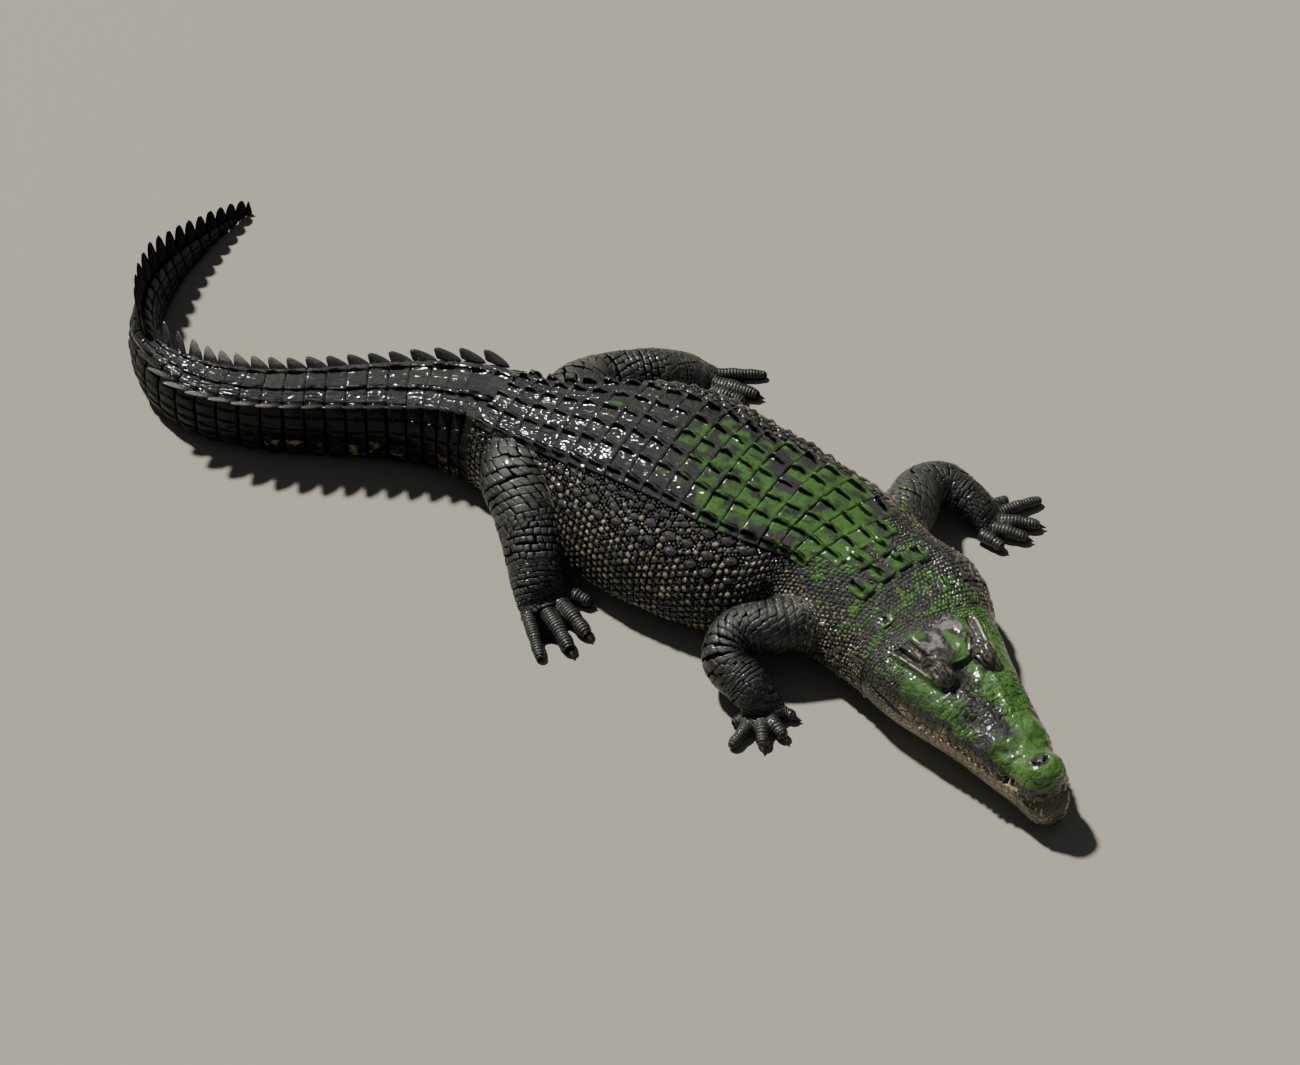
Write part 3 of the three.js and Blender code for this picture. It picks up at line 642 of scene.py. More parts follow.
def thin_out(piece, keep, ratio):
    """Fewer faces where keep is False, in one connected skin."""
    bpy.context.view_layer.objects.active = piece
    piece.select_set(True)
    bpy.ops.object.mode_set(mode="EDIT")
    bpy.ops.mesh.select_mode(type="VERT")
    bpy.ops.mesh.select_all(action="DESELECT")
    shape = bmesh.from_edit_mesh(piece.data)
    for vertex, kept in zip(shape.verts, keep.tolist()):
        if not kept:
            vertex.select_set(True)
    shape.select_flush(True)
    bmesh.update_edit_mesh(piece.data)
    bpy.ops.mesh.decimate(ratio=ratio)
    bpy.ops.object.mode_set(mode="OBJECT")


def refine(piece, wanted):
    """Cuts each face in four where all its points are wanted, with smooth new points."""
    shape = bmesh.new()
    shape.from_mesh(piece.data)
    flags = wanted.tolist()
    edges = [e for e in shape.edges if flags[e.verts[0].index] and flags[e.verts[1].index]]
    bmesh.ops.subdivide_edges(shape, edges=edges, cuts=1, use_grid_fill=True, smooth=0.3)
    bmesh.ops.triangulate(shape, faces=[f for f in shape.faces if len(f.verts) > 4])
    for face in shape.faces:
        face.smooth = True
    shape.to_mesh(piece.data)
    shape.free()
    piece.data.update()


def neighbour_mean(mesh, points):
    """The middle of each vertex's neighbours."""
    edges = np.empty(len(mesh.edges) * 2, np.int32)
    mesh.edges.foreach_get("vertices", edges)
    a, b = edges.reshape(-1, 2).T
    total = np.zeros_like(points)
    count = np.zeros(len(points))
    for i, j in ((a, b), (b, a)):
        for k in range(3):
            total[:, k] += np.bincount(i, points[j, k], len(points))
        count += np.bincount(i, minlength=len(points))
    return total / np.maximum(count, 1)[:, None]


FINE_HEAD_END = 368
FINE_HEAD_LOW = 34      # below this the head keeps its plain skin
HEAD_REACH = 150        # how far to each side of its middle line the head reaches
FOOT_REACH = 78
FOOT_HEIGHT = 42
THINNED = 0.13          # share of the faces left where scales cover the skin
points = vertex_array(skin.data) / MM
head_s, head_l, head_z = head_coordinates(points)
on_head = (head_s < FINE_HEAD_END + 12) & (np.abs(head_l) < HEAD_REACH)
foot_centres = [np.mean([d[:2] for d in leg["digits"]], axis=0) + leg_offset for leg in LEGS.values()]
near_foot = np.min([np.hypot(*(points[:, :2] - c).T) for c in foot_centres], axis=0) < FOOT_REACH
low_foot = near_foot & (points[:, 2] < FOOT_HEIGHT)
thin_out(skin, on_head | low_foot, THINNED)
points = vertex_array(skin.data) / MM
head_s, head_l, head_z = head_coordinates(points)
refine(skin, (head_s < FINE_HEAD_END) & (np.abs(head_l) < HEAD_REACH) & (head_z > FINE_HEAD_LOW))


# ---------------------------------------------------------------------------
# Head: lids, nostrils, ridges, mouth line and skin texture, worked into the skin
# ---------------------------------------------------------------------------

EYEBALL = 12.6          # radius of the eye itself
LID_RADIUS = 14.8       # the closed part of the lid, round the eye
LID_TILT = math.radians(28)
SLIT_HALF_LENGTH = 15
SLIT_HALF_HEIGHT = 3.6
SLIT_DROP = 3.5         # how far the slit lies below the eye's middle


def eye_frame(s, left, height, sign):
    """Distance from the eye, share of the outward direction, and place along and above the slit."""
    back = s - EYE["s"]
    side = left * sign - EYE["left"]
    up = height - EYE["height"]
    distance = np.sqrt(back**2 + side**2 + up**2)
    outward = (side * math.cos(LID_TILT) + up * math.sin(LID_TILT)) / np.maximum(distance, 1e-6)
    above = up * math.cos(LID_TILT) - side * math.sin(LID_TILT)
    return distance, outward, back, above


CHEEK_RIDGE = [(225, 52), (252, 57), (324, 76), (352, 84)]


def ear_slit(s, side):
    return window(s, 290, 300, 332, 346) * bell(side - along(CHEEK_RIDGE, s) + 14, 2.4)


def nostril_slit(s, left):
    """Two short slits that slant apart, on the nasal disc."""
    apart = np.abs(left + 4)
    return smoothstep(1.2, 0.4, np.hypot((s - 34 - 0.5 * apart) / 3.6, (apart - 8.5) / 6.5))


def lid_mask(s, outward):
    """The bump over an eye, by station and distance outward from the head's middle line."""
    return smoothstep(1.12, 0.86, np.hypot((s - LID["s"]) / 37, (outward - LID["left"]) / 21))


def slit_mask(back, above):
    half = SLIT_HALF_HEIGHT * np.clip(1 - (back / SLIT_HALF_LENGTH) ** 2, 0, 1)
    return smoothstep(1.0, 0.5, np.abs(above + SLIT_DROP) / np.maximum(half, 0.01))


# Swellings and hollows of the snout: height, station and length, distance to the side and width.
SNOUT_SWELLINGS = [
    (6.5, 200, 17, 47, 13), (5.0, 118, 15, 36, 12), (-4.6, 160, 16, 44, 12), (-3.2, 86, 9, 26, 16),
]


def shape_head(points, normals):
    """Moves the head's points: large forms first, then folds, then fine texture."""
    s, left, height = head_coordinates(points)
    side = np.abs(left)
    on_head = smoothstep(HEAD_END + 14, HEAD_END - 12, s)
    up = np.clip(normals[:, 2], 0, 1)
    lip = along(LIP_HEIGHT, s)
    half = along(UPPER_HALF_WIDTH, s)
    push = np.zeros(len(points))

    # Ridges from the eye to the rear corner of the skull, and the furrows of the ear above them.
    ridge_left = along(CHEEK_RIDGE, s)
    ridge_span = window(s, 226, 250, 325, 352)
    on_ridge = ridge_span * smoothstep(110, 130, height)
    push += 4.0 * on_ridge * bell(side - ridge_left, 4.0)
    push -= 6.5 * on_ridge * bell(side - ridge_left + 11, 6) * smoothstep(268, 290, s)
    push -= 2.4 * on_ridge * bell(side - ridge_left - 9, 6)
    strand = np.sin((side - ridge_left + 0.05 * s) * 2 * math.pi / 6.5 + 4 * noise(points, 30, 13))
    push += 1.3 * on_ridge * strand * bell(side - ridge_left + 12, 9) * smoothstep(262, 285, s)
    push -= 4.0 * ear_slit(s, side) * smoothstep(130, 150, height)

    # Skull table: a little hollow, with raised edges, knobs at its rear corners and a rough top.
    on_table = window(s, 275, 290, 356, 372) * smoothstep(62, 54, side) * up
    push -= 3.0 * on_table * bell(side, 28)
    push += 2.0 * on_table * bell(side - 46, 5.5)
    push -= 2.6 * on_table * spot(s - 318, 15, side - 23, 8)
    push += 4.0 * up * spot(s - 347, 10, side - 52, 9)
    push -= 5.5 * up * bell(side, 14) * bell(s - 244, 28)
    push += 2.2 * on_table * (noise(points, 9, 14) - 0.5)

    # Snout: ridges before the eyes, swellings over the teeth, hollows between, and a furrow
    # behind the nasal disc.
    snout = window(s, 70, 84, 215, 240) * smoothstep(0.1, 0.5, up)
    ridge = along([(90, 12), (150, 17), (220, 34)], s)
    push += 3.2 * snout * bell(side - ridge, 7) * smoothstep(100, 170, s)
    for swell, at_s, length, at_side, width in SNOUT_SWELLINGS:
        push += swell * snout * spot(s - at_s, length, side - at_side, width)
    push -= 4.5 * bell(s - 72, 6.5) * up * smoothstep(10, 24, side)
    push += 5.0 * up * spot(s - 238, 7, side - 26, 7)
    wrinkle = np.sin((s + 12 * noise(points, 26, 3) + 0.12 * side) * 2 * math.pi / 13)
    push += 0.9 * snout * wrinkle * smoothstep(0.35, 0.8, noise(points, 30, 4))
    push += 3.8 * snout * (noise(points, 13, 5) - 0.5)
    pits = cracks(np.stack([s, left], -1), 11, 2)
    push -= 1.4 * snout * smoothstep(0.35, 0.0, pits) * smoothstep(110, 150, s)

    # Nasal disc: a low rim round a rough hollow with two slits.
    round_disc = np.hypot((s - 38) / 17, (left + 4) / 21)
    on_disc = smoothstep(0.3, 0.7, up) * smoothstep(100, 112, height)
    push += 1.6 * on_disc * bell(round_disc - 0.95, 0.28)
    push -= 2.6 * on_disc * smoothstep(0.85, 0.3, round_disc)
    push += 2.6 * on_disc * (noise(points, 6, 6) - 0.5) * smoothstep(1.1, 0.7, round_disc)
    push -= 4.4 * on_disc * nostril_slit(s, left)
    push += 1.6 * on_disc * (noise(points, 10, 7) - 0.5) * smoothstep(0.8, 1.1, round_disc)

    # Mouth line, and the lips that wave above the teeth.
    closed = window(s, 88, 112, 330, 349)
    mouth_height = lip - 2
    on_side = smoothstep(0.8, 0.5, np.abs(normals[:, 2])) * smoothstep(0.75, 0.88, side / half)
    push -= 5.0 * closed * on_side * bell(height - mouth_height, 2.3)
    push += 2.2 * on_side * bell(height - mouth_height - 8, 6) * (s < 335)
    push += 1.0 * on_side * bell(height - mouth_height + 9, 6) * (s < 335)
    push += 1.6 * on_side * np.sin(s * 2 * math.pi / 15) * bell(height - mouth_height - 6, 7) * (s < 250)

    # Jaw sides and cheeks: low, close-set scales, smaller toward the jowl.
    cheek = smoothstep(0.75, 0.35, up) * smoothstep(-0.9, -0.5, normals[:, 2])
    plates = cracks(np.stack([s, height + 0.4 * side], -1), 14, 8)
    push += cheek * (1.3 * smoothstep(0, 0.35, plates) - 0.9) * smoothstep(300, 270, s)
    beads = cracks(np.stack([s, height + 0.5 * side], -1), 8.5, 9)
    push += cheek * (2.0 * smoothstep(0, 0.45, beads) - 1.2) * smoothstep(265, 300, s)

    # Fine texture of the bare bone-tight skin.
    push += 1.3 * (noise(points, 4.5, 10) - 0.5) * smoothstep(0.2, 0.6, up)
    push += 0.6 * (noise(points, 2.4, 11) - 0.5)
    moved = points + normals * (push * on_head)[:, None]

    # Lids: skin drawn over each eye, open in a narrow slit on the outer side, in fine folds.
    for eye_sign in (1, -1):
        s, left, height = head_coordinates(moved)
        distance, outward, back, above = eye_frame(s, left, height, eye_sign)
        centre = place(EYE["s"], eye_sign * EYE["left"], EYE["height"])
        direction = (moved - centre) / np.maximum(distance, 1e-6)[:, None]
        wrap = smoothstep(20, 16, distance) * smoothstep(0.35, 0.65, outward)
        rim = bell(np.abs(above + SLIT_DROP) - SLIT_HALF_HEIGHT - 1.2, 1.3) * smoothstep(17, 12, np.abs(back))
        target = mix(LID_RADIUS + 1.0 * rim, EYEBALL - 2.2, slit_mask(back, above))
        moved = moved + direction * ((target - distance) * wrap)[:, None]
        from_slit = np.hypot(back * 0.55, above + SLIT_DROP)
        folds = np.cos(from_slit * 2 * math.pi / 5.6 + 5 * noise(points, 16, 12))
        fold_span = window(from_slit, 5, 8, 26, 36)
        on_lid = lid_mask(s, left * eye_sign) * smoothstep(-0.2, 0.2, normals[:, 2])
        moved = moved + normals * (1.15 * folds * fold_span * on_lid)[:, None]
        moved = moved + normals * (2.4 * (noise(points, 5.5, 15) - 0.5) * on_lid)[:, None]
    return moved


def head_markings(points, normals):
    """Algae, pale, bare and dark over the head."""
    s, left, height = head_coordinates(points)
    side = np.abs(left)
    up = normals[:, 2]
    lip = along(LIP_HEIGHT, s)
    top = along(UPPER_TOP, s)
    above_lip = (height - lip) / np.maximum(top - lip, 1)
    patch = noise(points, 22, 20)
    speck = noise(points, 7, 21)
    mottle = noise(points, 12, 22)
    far = smoothstep(-8, 10, left + 8 * (patch - 0.5))

    # Bare bone-grey skin over the skull table, ragged at its edges.
    ragged = 0.9 * (patch - 0.5) + 0.7 * (speck - 0.5)
    on_table = smoothstep(1.15, 0.75, np.hypot((s - 324 - 0.25 * left) / 44, (left - 9) / 47) + ragged)
    on_table = on_table * smoothstep(146, 156, height)
    tuft = smoothstep(1.2, 0.7, np.hypot((s - 300) / 24, (left - 6) / 12) + 0.9 * (speck - 0.5))
    lid = np.maximum(lid_mask(s, left), lid_mask(s, -left)) * (height > 143)
    bare = on_table * (1 - tuft) * smoothstep(0.1, 0.75, 0.6 * mottle + 0.4 * speck)
    crater = smoothstep(1.05, 0.7, np.hypot((s - 39) / 14, (left + 6) / 22) + 0.35 * (speck - 0.5))
    crater = crater * (height > 112)

    # Algae: bright and even on the far half and the nasal disc, broken on the near half.
    green_top = smoothstep(0.34, 0.70, above_lip + 0.5 * (patch - 0.5)) * smoothstep(-0.3, 0.15, up)
    far_cheek = (left > 0) * smoothstep(-0.3, 0.2, above_lip) * smoothstep(205, 250, s)
    algae = np.maximum(green_top * mix(0.75, 1, far), far_cheek)
    middle = (1 - far) * smoothstep(95, 130, s) * smoothstep(262, 235, s) * smoothstep(66, 40, side)
    algae = algae * (1 - middle * (0.30 + 0.55 * smoothstep(0.3, 0.6, mottle)))
    before_eyes = window(s, 196, 222, 262, 290) * smoothstep(46, 30, side)
    algae = algae * (1 - 0.45 * before_eyes * smoothstep(0.35, 0.65, speck))
    on_disc = smoothstep(84, 70, s) * smoothstep(92, 98, height + 8 * (patch - 0.5))
    algae = np.maximum(algae, on_disc)
    algae = algae * (1 - on_table * (1 - tuft)) * (1 - lid) * (1 - 0.85 * crater)
    jowl = smoothstep(262, 320, s) * (left < 0)
    algae = algae * mix(1, 0.15 + 0.55 * smoothstep(0.35, 0.6, patch), jowl)
    furrow = window(s, 264, 285, 335, 352) * (height > 128)
    inside = bell(side - along(CHEEK_RIDGE, s) + 11, 8)
    algae = algae * (1 - 0.95 * furrow * inside)

    # Pale: the jaws' sides, the rim of the cheek ridge and the knobs behind the skull table.
    jaw_side = smoothstep(0.45, 0.2, above_lip + 0.25 * (patch - 0.5))
    pale = jaw_side * mix(0.60, 1.0, smoothstep(0.1, -0.4, above_lip + 0.3 * (speck - 0.5)))
    pale = pale * (0.62 + 0.55 * mottle) * smoothstep(-0.2, 0.25, up + 1.1)
    pale = pale * mix(0.55, 1, smoothstep(36, 60, s))
    pale = pale * mix(1, 0.6, smoothstep(275, 330, s))
    on_ridge = window(s, 238, 256, 325, 345) * (height > 124)
    rim = on_ridge * bell(side - along(CHEEK_RIDGE, s), 3.0) * smoothstep(0.2, 0.5, speck)
    knob = spot(s - 350, 12, side - 54, 10) * (left < 0)
    edge = window(s, 296, 306, 336, 346) * bell(side - 50, 4.5) * (height > 152)
    edge = 0.8 * edge * (left < 0) * smoothstep(0.3, 0.6, speck)
    pale = np.maximum(pale, np.maximum(0.95 * rim, np.maximum(0.4 * knob, edge)))
    pale = np.maximum(pale, 0.55 * furrow * inside * smoothstep(0.3, 0.7, mottle))
    pale = np.maximum(pale, 0.50 * lid * smoothstep(0.45, 0.75, speck))
    algae = algae * (1 - 0.9 * rim) * (1 - knob)
    pale = pale * (1 - on_disc)
    in_mouth = (s < 100) & (np.abs(up) > 0.75) & (height < lip + 3) & (height > 45)
    pale = np.where(in_mouth & (side < along(JAW_HALF_WIDTH, s) - 4), 1.0, pale)
    # Darker on the lids and the nasal crater, their own colour, with painted shade in the nostril slits, the
    # ear slit and the furrow inside the cheek ridge.
    nostril = nostril_slit(s, left)
    dark = 0.35 * lid + 0.6 * crater + 0.2 * furrow * inside + nostril * (height > 112)
    dark = np.maximum(np.clip(dark, 0, 1), ear_slit(s, side) * (height > 130))
    bare = np.maximum(bare, 0.34 * lid * mottle)
    bare = np.maximum(bare, 0.12 * crater * (1 - nostril) * speck)
    return algae, pale, bare, dark


# ---------------------------------------------------------------------------
# Markings of the body
# ---------------------------------------------------------------------------

BACK_HALF = 120         # from the ridge of the back to the edge of the shield


def body_markings(s, arc, points):
    """Algae and pale over the body, from the station and the distance round from the back's ridge."""
    side = np.abs(arc + 20 * smoothstep(650, 480, s))
    patch = noise(points, 48, 30)
    small = noise(points, 17, 31)
    lateral = smoothstep(BACK_HALF + 6, BACK_HALF - 40, side + 44 * (patch - 0.5))
    front = smoothstep(985, 760, s + 150 * (patch - 0.5) + 90 * (small - 0.5) + 0.25 * side)
    algae = 0.92 * lateral * front * smoothstep(0.12, 0.55, 0.55 * patch + 0.45 * small)
    stray = smoothstep(1120, 950, s) * smoothstep(0.66, 0.78, patch) * smoothstep(90, 60, side)
    algae = np.maximum(algae, 0.6 * stray)
    neck = smoothstep(560, 510, s) * smoothstep(185, 120, side + 50 * (patch - 0.5))
    on_neck = 0.58 * neck * smoothstep(0.50, 0.74, 0.4 * small + 0.6 * patch)
    algae = mix(algae, np.maximum(algae * 0.7, on_neck), smoothstep(570, 520, s))
    share = np.abs(arc) / np.interp(s, body_stations, left_arc)
    belly = smoothstep(0.66, 0.74, share + 0.05 * (patch - 0.5))
    flank = smoothstep(0.18, 0.34, share)
    on_trunk = smoothstep(1290, 1200, s)
    pale = np.maximum(flank * mix(0.44, 0.92, small), 1.15 * belly) * mix(0.5, 1, on_trunk)
    neck_pale = smoothstep(620, 540, s) * smoothstep(0.36, 0.6, share) * mix(0.45, 0.85, patch)
    pale = np.maximum(pale, neck_pale)
    return algae, pale * (1 - 0.8 * algae)


# ---------------------------------------------------------------------------
# Building scales
# ---------------------------------------------------------------------------

PATCH = 0.003           # size of one scale in its UV map
UV_MARGIN = 0.0005
# rise: how far a place stands proud. Low rise is drawn near black, as the dark skin between scales with
# painted crevice shade, and as painted shade on keel flanks and in the head's hollows.
ATTRIBUTES = ("rise", "tone", "algae", "pale", "bare", "dull")


class Scales:
    """Many small solid plates set on the skin, gathered to be one piece."""

    def __init__(self):
        self.parts = []

    def add(self, points, uv, quads, loops, values):
        """points is (scales, points in each, 3); quads and loops index the points of one scale."""
        self.parts.append((points, uv, quads, loops, values))

    def build(self, name, material):
        all_points, all_uv, corners, starts = [], [], [], []
        values = {key: [] for key in ATTRIBUTES}
        first = 0
        corner_count = 0
        for points, uv, quads, loops, given in self.parts:
            number, size = points.shape[:2]
            offset = first + size * np.arange(number)[:, None, None]
            for faces in (quads, *(loop[None] for loop in loops)):
                corners.append((faces[None] + offset).reshape(-1))
                starts.append(corner_count + faces.shape[1] * np.arange(number * len(faces)))
                corner_count += len(corners[-1])
            all_points.append(points.reshape(-1, 3))
            all_uv.append(uv.reshape(-1, 2))
            for key in ATTRIBUTES:
                values[key].append(np.broadcast_to(given.get(key, 0.0), (number, size)).reshape(-1))
            first += number * size
        points = np.concatenate(all_points)
        points[:, 2] = np.maximum(points[:, 2], 0)
        corners = np.concatenate(corners)
        starts = np.concatenate(starts)
        mesh = bpy.data.meshes.new(name)
        mesh.vertices.add(len(points))
        mesh.vertices.foreach_set("co", (points * MM).astype(np.float32).ravel())
        mesh.loops.add(len(corners))
        mesh.loops.foreach_set("vertex_index", corners.astype(np.int32))
        mesh.polygons.add(len(starts))
        mesh.polygons.foreach_set("loop_start", starts.astype(np.int32))
        mesh.update(calc_edges=True)
        mesh.validate()
        uv = np.concatenate(all_uv)
        layer = mesh.uv_layers.new(name="OFBake")
        index = np.empty(len(mesh.loops), np.int32)
        mesh.loops.foreach_get("vertex_index", index)
        layer.data.foreach_set("uv", uv[index].astype(np.float32).ravel())
        set_values(mesh, {key: np.concatenate(values[key]) for key in ATTRIBUTES})
        mesh.polygons.foreach_set("use_smooth", np.ones(len(mesh.polygons), bool))
        mesh.materials.append(material)
        piece = bpy.data.objects.new(name, mesh)
        bpy.context.scene.collection.objects.link(piece)
        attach(piece, "root")


def set_values(mesh, values):
    for key, value in values.items():
        attribute = mesh.attributes.new(key, "FLOAT", "POINT")
        attribute.data.foreach_set("value", np.asarray(value, np.float32))


def toward_edges(count):
    """Numbers from -1 to 1, closer together near both ends."""
    even = np.linspace(-1, 1, count)
    return mix(even, np.sin(even * math.pi / 2), 0.6)


def template(rows, columns, roundness):
    """A square grid from -1 to 1, bent toward a disc, with its quads and its outline."""
    a, b = np.meshgrid(toward_edges(rows), toward_edges(columns), indexing="ij")
    a_round = a * np.sqrt(1 - roundness * b**2 / 2)
    b_round = b * np.sqrt(1 - roundness * a**2 / 2)
    index = np.arange(rows * columns).reshape(rows, columns)
    quads = np.stack([index[:-1, :-1], index[1:, :-1], index[1:, 1:], index[:-1, 1:]], -1).reshape(-1, 4)
    outline = np.concatenate([index[0, :], index[1:, -1], index[-1, -2::-1], index[-2:0:-1, 0]])
    border = np.maximum(np.abs(a), np.abs(b)) > 0.999
    return a.ravel(), b.ravel(), a_round.ravel(), b_round.ravel(), border.ravel(), quads, outline


CULL_DISTANCE = 9       # a scale whose middle is farther than this from the skin is left out
ALGAE_PATCH = 15        # size of the patches that algae leaves bare, in mm
FLECK = 6.5             # size of the yellow flecks of the tail's sides
SNAP_DISTANCE = 0.9     # a scale farther than this from the skin is brought on to it


def on_skin(points, normals, reach):
    """Points brought to the skin near them, for scales where surfaces meet. Also says which to keep."""
    found = points.copy()
    keep = np.ones(len(points), bool)
    for k, scale in enumerate(points):
        middle = scale.mean(axis=0)
        hit = skin_tree.find_nearest(Vector(middle * MM))
        if hit[3] > reach * MM:
            keep[k] = False
        elif hit[3] > SNAP_DISTANCE * MM:
            for i, point in enumerate(scale):
                near = skin_tree.find_nearest(Vector(point * MM))
                found[k, i] = np.array(near[0]) / MM
                if near[3] > 2 * MM:
                    normals[k, i] = normals[k, i] * 0.4 + np.array(near[1]) * 0.6
    return found, normals, keep


def grow(scales, sheet, cells, grid, profile, values, root=1.4, reach=CULL_DISTANCE):
    """Adds one kind of scale. cells has u, v, du, dv and turn for each; values are its attributes."""
    a, b, a_round, b_round, border, quads, outline = template(*grid)
    spin = cells.get("turn", np.zeros(len(cells["u"])))[:, None]
    along_cell = a_round[None] * cells["du"][:, None]
    across_cell = b_round[None] * cells["dv"][:, None]
    u = cells["u"][:, None] + along_cell
    v = cells["v"][:, None] + across_cell + spin * a[None] * cells["dv"][:, None]
    base, normals = sheet.at(u, v)
    base, normals, keep = on_skin(base, normals, reach)
    lift, rise = profile(a[None], b[None], cells)
    lift = np.where(border[None], -root, lift)
    points = base + normals * lift[..., None]
    keep &= points[..., 2].max(axis=1) > 2.5
    u0, v0, u1, v1 = sheet.chart
    uv = np.stack([
        mix(u0, u1, cells["u"][:, None]) + a_round[None] * PATCH / 2,
        mix(v0, v1, cells["v"][:, None]) + b_round[None] * PATCH / 2,
    ], -1)
    uv = np.clip(uv, UV_MARGIN, 1 - UV_MARGIN)
    given = {"rise": np.broadcast_to(rise, lift.shape)}
    for key, value in values.items():
        value = np.asarray(value, float)
        given[key] = np.broadcast_to(value[:, None] if value.ndim == 1 else value, lift.shape)
    if "algae" in given:
        patchy = noise(base.reshape(-1, 3), ALGAE_PATCH, 70).reshape(lift.shape)
        given["algae"] = given["algae"] + 1.5 * (patchy - 0.5) * smoothstep(0.05, 0.3, given["algae"])
    if "flecked" in cells:
        flecks = noise(base.reshape(-1, 3), FLECK, 71).reshape(lift.shape)
        given["pale"] = given["pale"] * smoothstep(0.38, 0.72, flecks)
    corner, next_corner, last_corner = (base[0, quads[0, k]] for k in (0, 1, 3))
    flipped = np.cross(next_corner - corner, last_corner - corner)
    if flipped @ normals[0, 0] < 0:
        quads = quads[:, ::-1]
    else:
        outline = outline[::-1]
    scales.add(points[keep], uv[keep], quads, [outline], {k: g[keep] for k, g in given.items()})


# How each kind of scale rises over its grid: a runs toward the tail or toes, b across.

def edge_of(a, b):
    return np.minimum(1 - np.abs(a), 1 - np.abs(b))


def roughness_of(a, b, seed, fineness):
    """Uneven relief from -0.5 to 0.5, different on each scale."""
    return noise(np.stack([a * fineness + seed, b * fineness - 0.7 * seed], -1), 1, 40) - 0.5


def scute_profile(a, b, cells):
    """A keeled plate: a narrow groove before and behind, and a steep keel that climbs to the rear. Its rise
    drops on the keel's flanks, which paints shade there.
    """
    high = cells["high"][:, None]
    keel = cells["keel"][:, None]
    seed = cells["seed"][:, None]
    ramp = mix(0.15, 1, smoothstep(-1, 0.45, a)) * smoothstep(1.0, 0.88, a)
    ramp = mix(ramp, 0.85, cells["steady"][:, None])
    aside = np.abs(b - cells["offset"][:, None] - 0.05 * np.sin(2.4 * a + seed))
    ridge = np.clip(1 - aside / 0.24, 0, 1) ** 0.7
    foot = bell(aside, 0.6)
    rough = 2.4 * roughness_of(a, b, seed, 2.4) + 2.2 * roughness_of(a, b, seed + 31, 5.0)
    inside = smoothstep(0, 0.1, 1 - np.abs(a)) * smoothstep(0, 0.05, 1 - np.abs(b))
    keeled = keel * ramp * (0.85 * ridge + 0.15 * foot)
    lift = high * inside + keeled + rough * smoothstep(0, 0.2, edge_of(a, b))
    # Painted shade on both flanks of the keel: the rise drops there, so they are drawn near black and dull.
    shade = window(aside, 0.02, 0.10, 0.26, 0.42)
    shade = shade * smoothstep(0.15, 0.5, ramp) * np.clip(keel / 5, 0, 1)
    return lift, inside * (1 - 0.96 * shade)


def whorl_profile(a, b, cells):
    """A plate of the tail's side: its whorl bulges between deep grooves, its upper edge is a ledge."""
    high = cells["high"][:, None]
    seed = cells["seed"][:, None]
    toward_belly = b * cells["way"][:, None]
    swell = np.clip(1 - np.abs(a) ** 3.2, 0, 1)
    ledge = smoothstep(-1, -0.72, toward_belly) * mix(1, 0.35, smoothstep(-0.7, 1, toward_belly))
    rough = 1.5 * roughness_of(a, b, seed, 2.2) + 0.9 * roughness_of(a, b, seed + 31, 4.6)
    lift = high * swell * ledge + rough * smoothstep(0, 0.3, edge_of(a, b))
    # The rise falls toward the grooves between whorls and rows, which paints shade in them.
    return lift, smoothstep(0.1, 0.6, swell) * (0.45 + 0.55 * smoothstep(0.02, 0.3, 1 - np.abs(b)))


def dome_profile(a, b, cells):
    """A raised scale that climbs to a blunt point near its rear."""
    high = cells["high"][:, None]
    far = np.clip(np.hypot(a - 0.12, b) / 1.15, 0, 1)
    dome = np.clip(1 - far**1.9, 0, 1)
    point = np.clip(1 - np.hypot((a - 0.25) / 0.75, b / 0.5), 0, 1)
    return high * (0.72 * dome + 0.38 * point), smoothstep(0.15, 0.95, dome)


def shingle_profile(a, b, cells):
    """A low scale of the limbs, a little proud at the rear, with a narrow crease round it."""
    high = cells["high"][:, None]
    inside = smoothstep(0, 0.16, edge_of(a, b))
    tilt = 0.6 + 0.4 * smoothstep(-1, 0.7, a)
    swell = 0.75 + 0.25 * np.clip(1 - b**2, 0, 1)
    return high * inside * tilt * swell, 0.1 + 0.9 * smoothstep(0.0, 0.16, edge_of(a, b))


def plate_profile(a, b, cells):
    """A flat plate with bevelled edges and a faint ridge."""
    high = cells["high"][:, None]
    flat = smoothstep(0, 0.28, edge_of(a, b))
    ridge = 0.25 * bell(b - 0.1, 0.35) * smoothstep(-0.9, 0.5, a)
    return high * (flat * (0.8 + 0.15 * a) + ridge * flat), smoothstep(0.02, 0.3, edge_of(a, b))


# ---------------------------------------------------------------------------
# The skin takes its head, markings and parent
# ---------------------------------------------------------------------------

rng = np.random.default_rng(7)


def spread(low, high, count):
    return rng.uniform(low, high, count)


NAPE_JOINT = 370        # where the head's rear meets the neck: smoothed, so that no step shows
NAPE_ROUNDS = 140

points = vertex_array(skin.data) / MM
head_s, head_l, head_z = head_coordinates(points)
joint_weight = 0.8 * smoothstep(NAPE_JOINT - 34, NAPE_JOINT - 14, head_s)
joint_weight = joint_weight * smoothstep(NAPE_JOINT + 48, NAPE_JOINT + 14, head_s)
joint_weight = (joint_weight * (head_z > 8) * (np.abs(head_l) < 170))[:, None]
for _ in range(NAPE_ROUNDS):
    points = points + joint_weight * (neighbour_mean(skin.data, points) - points)
head_s, head_l, head_z = head_coordinates(points)
set_vertices(skin.data, points)
normals = vertex_array(skin.data, "normal")
is_head = (head_s < HEAD_END + 20) & (np.abs(head_l) < HEAD_REACH)
points[is_head] = shape_head(points[is_head], normals[is_head])
points[:, 2] = np.maximum(points[:, 2], 0)
set_vertices(skin.data, points)
normals = vertex_array(skin.data, "normal")
skin_tree = BVHTree.FromObject(skin, bpy.context.evaluated_depsgraph_get())


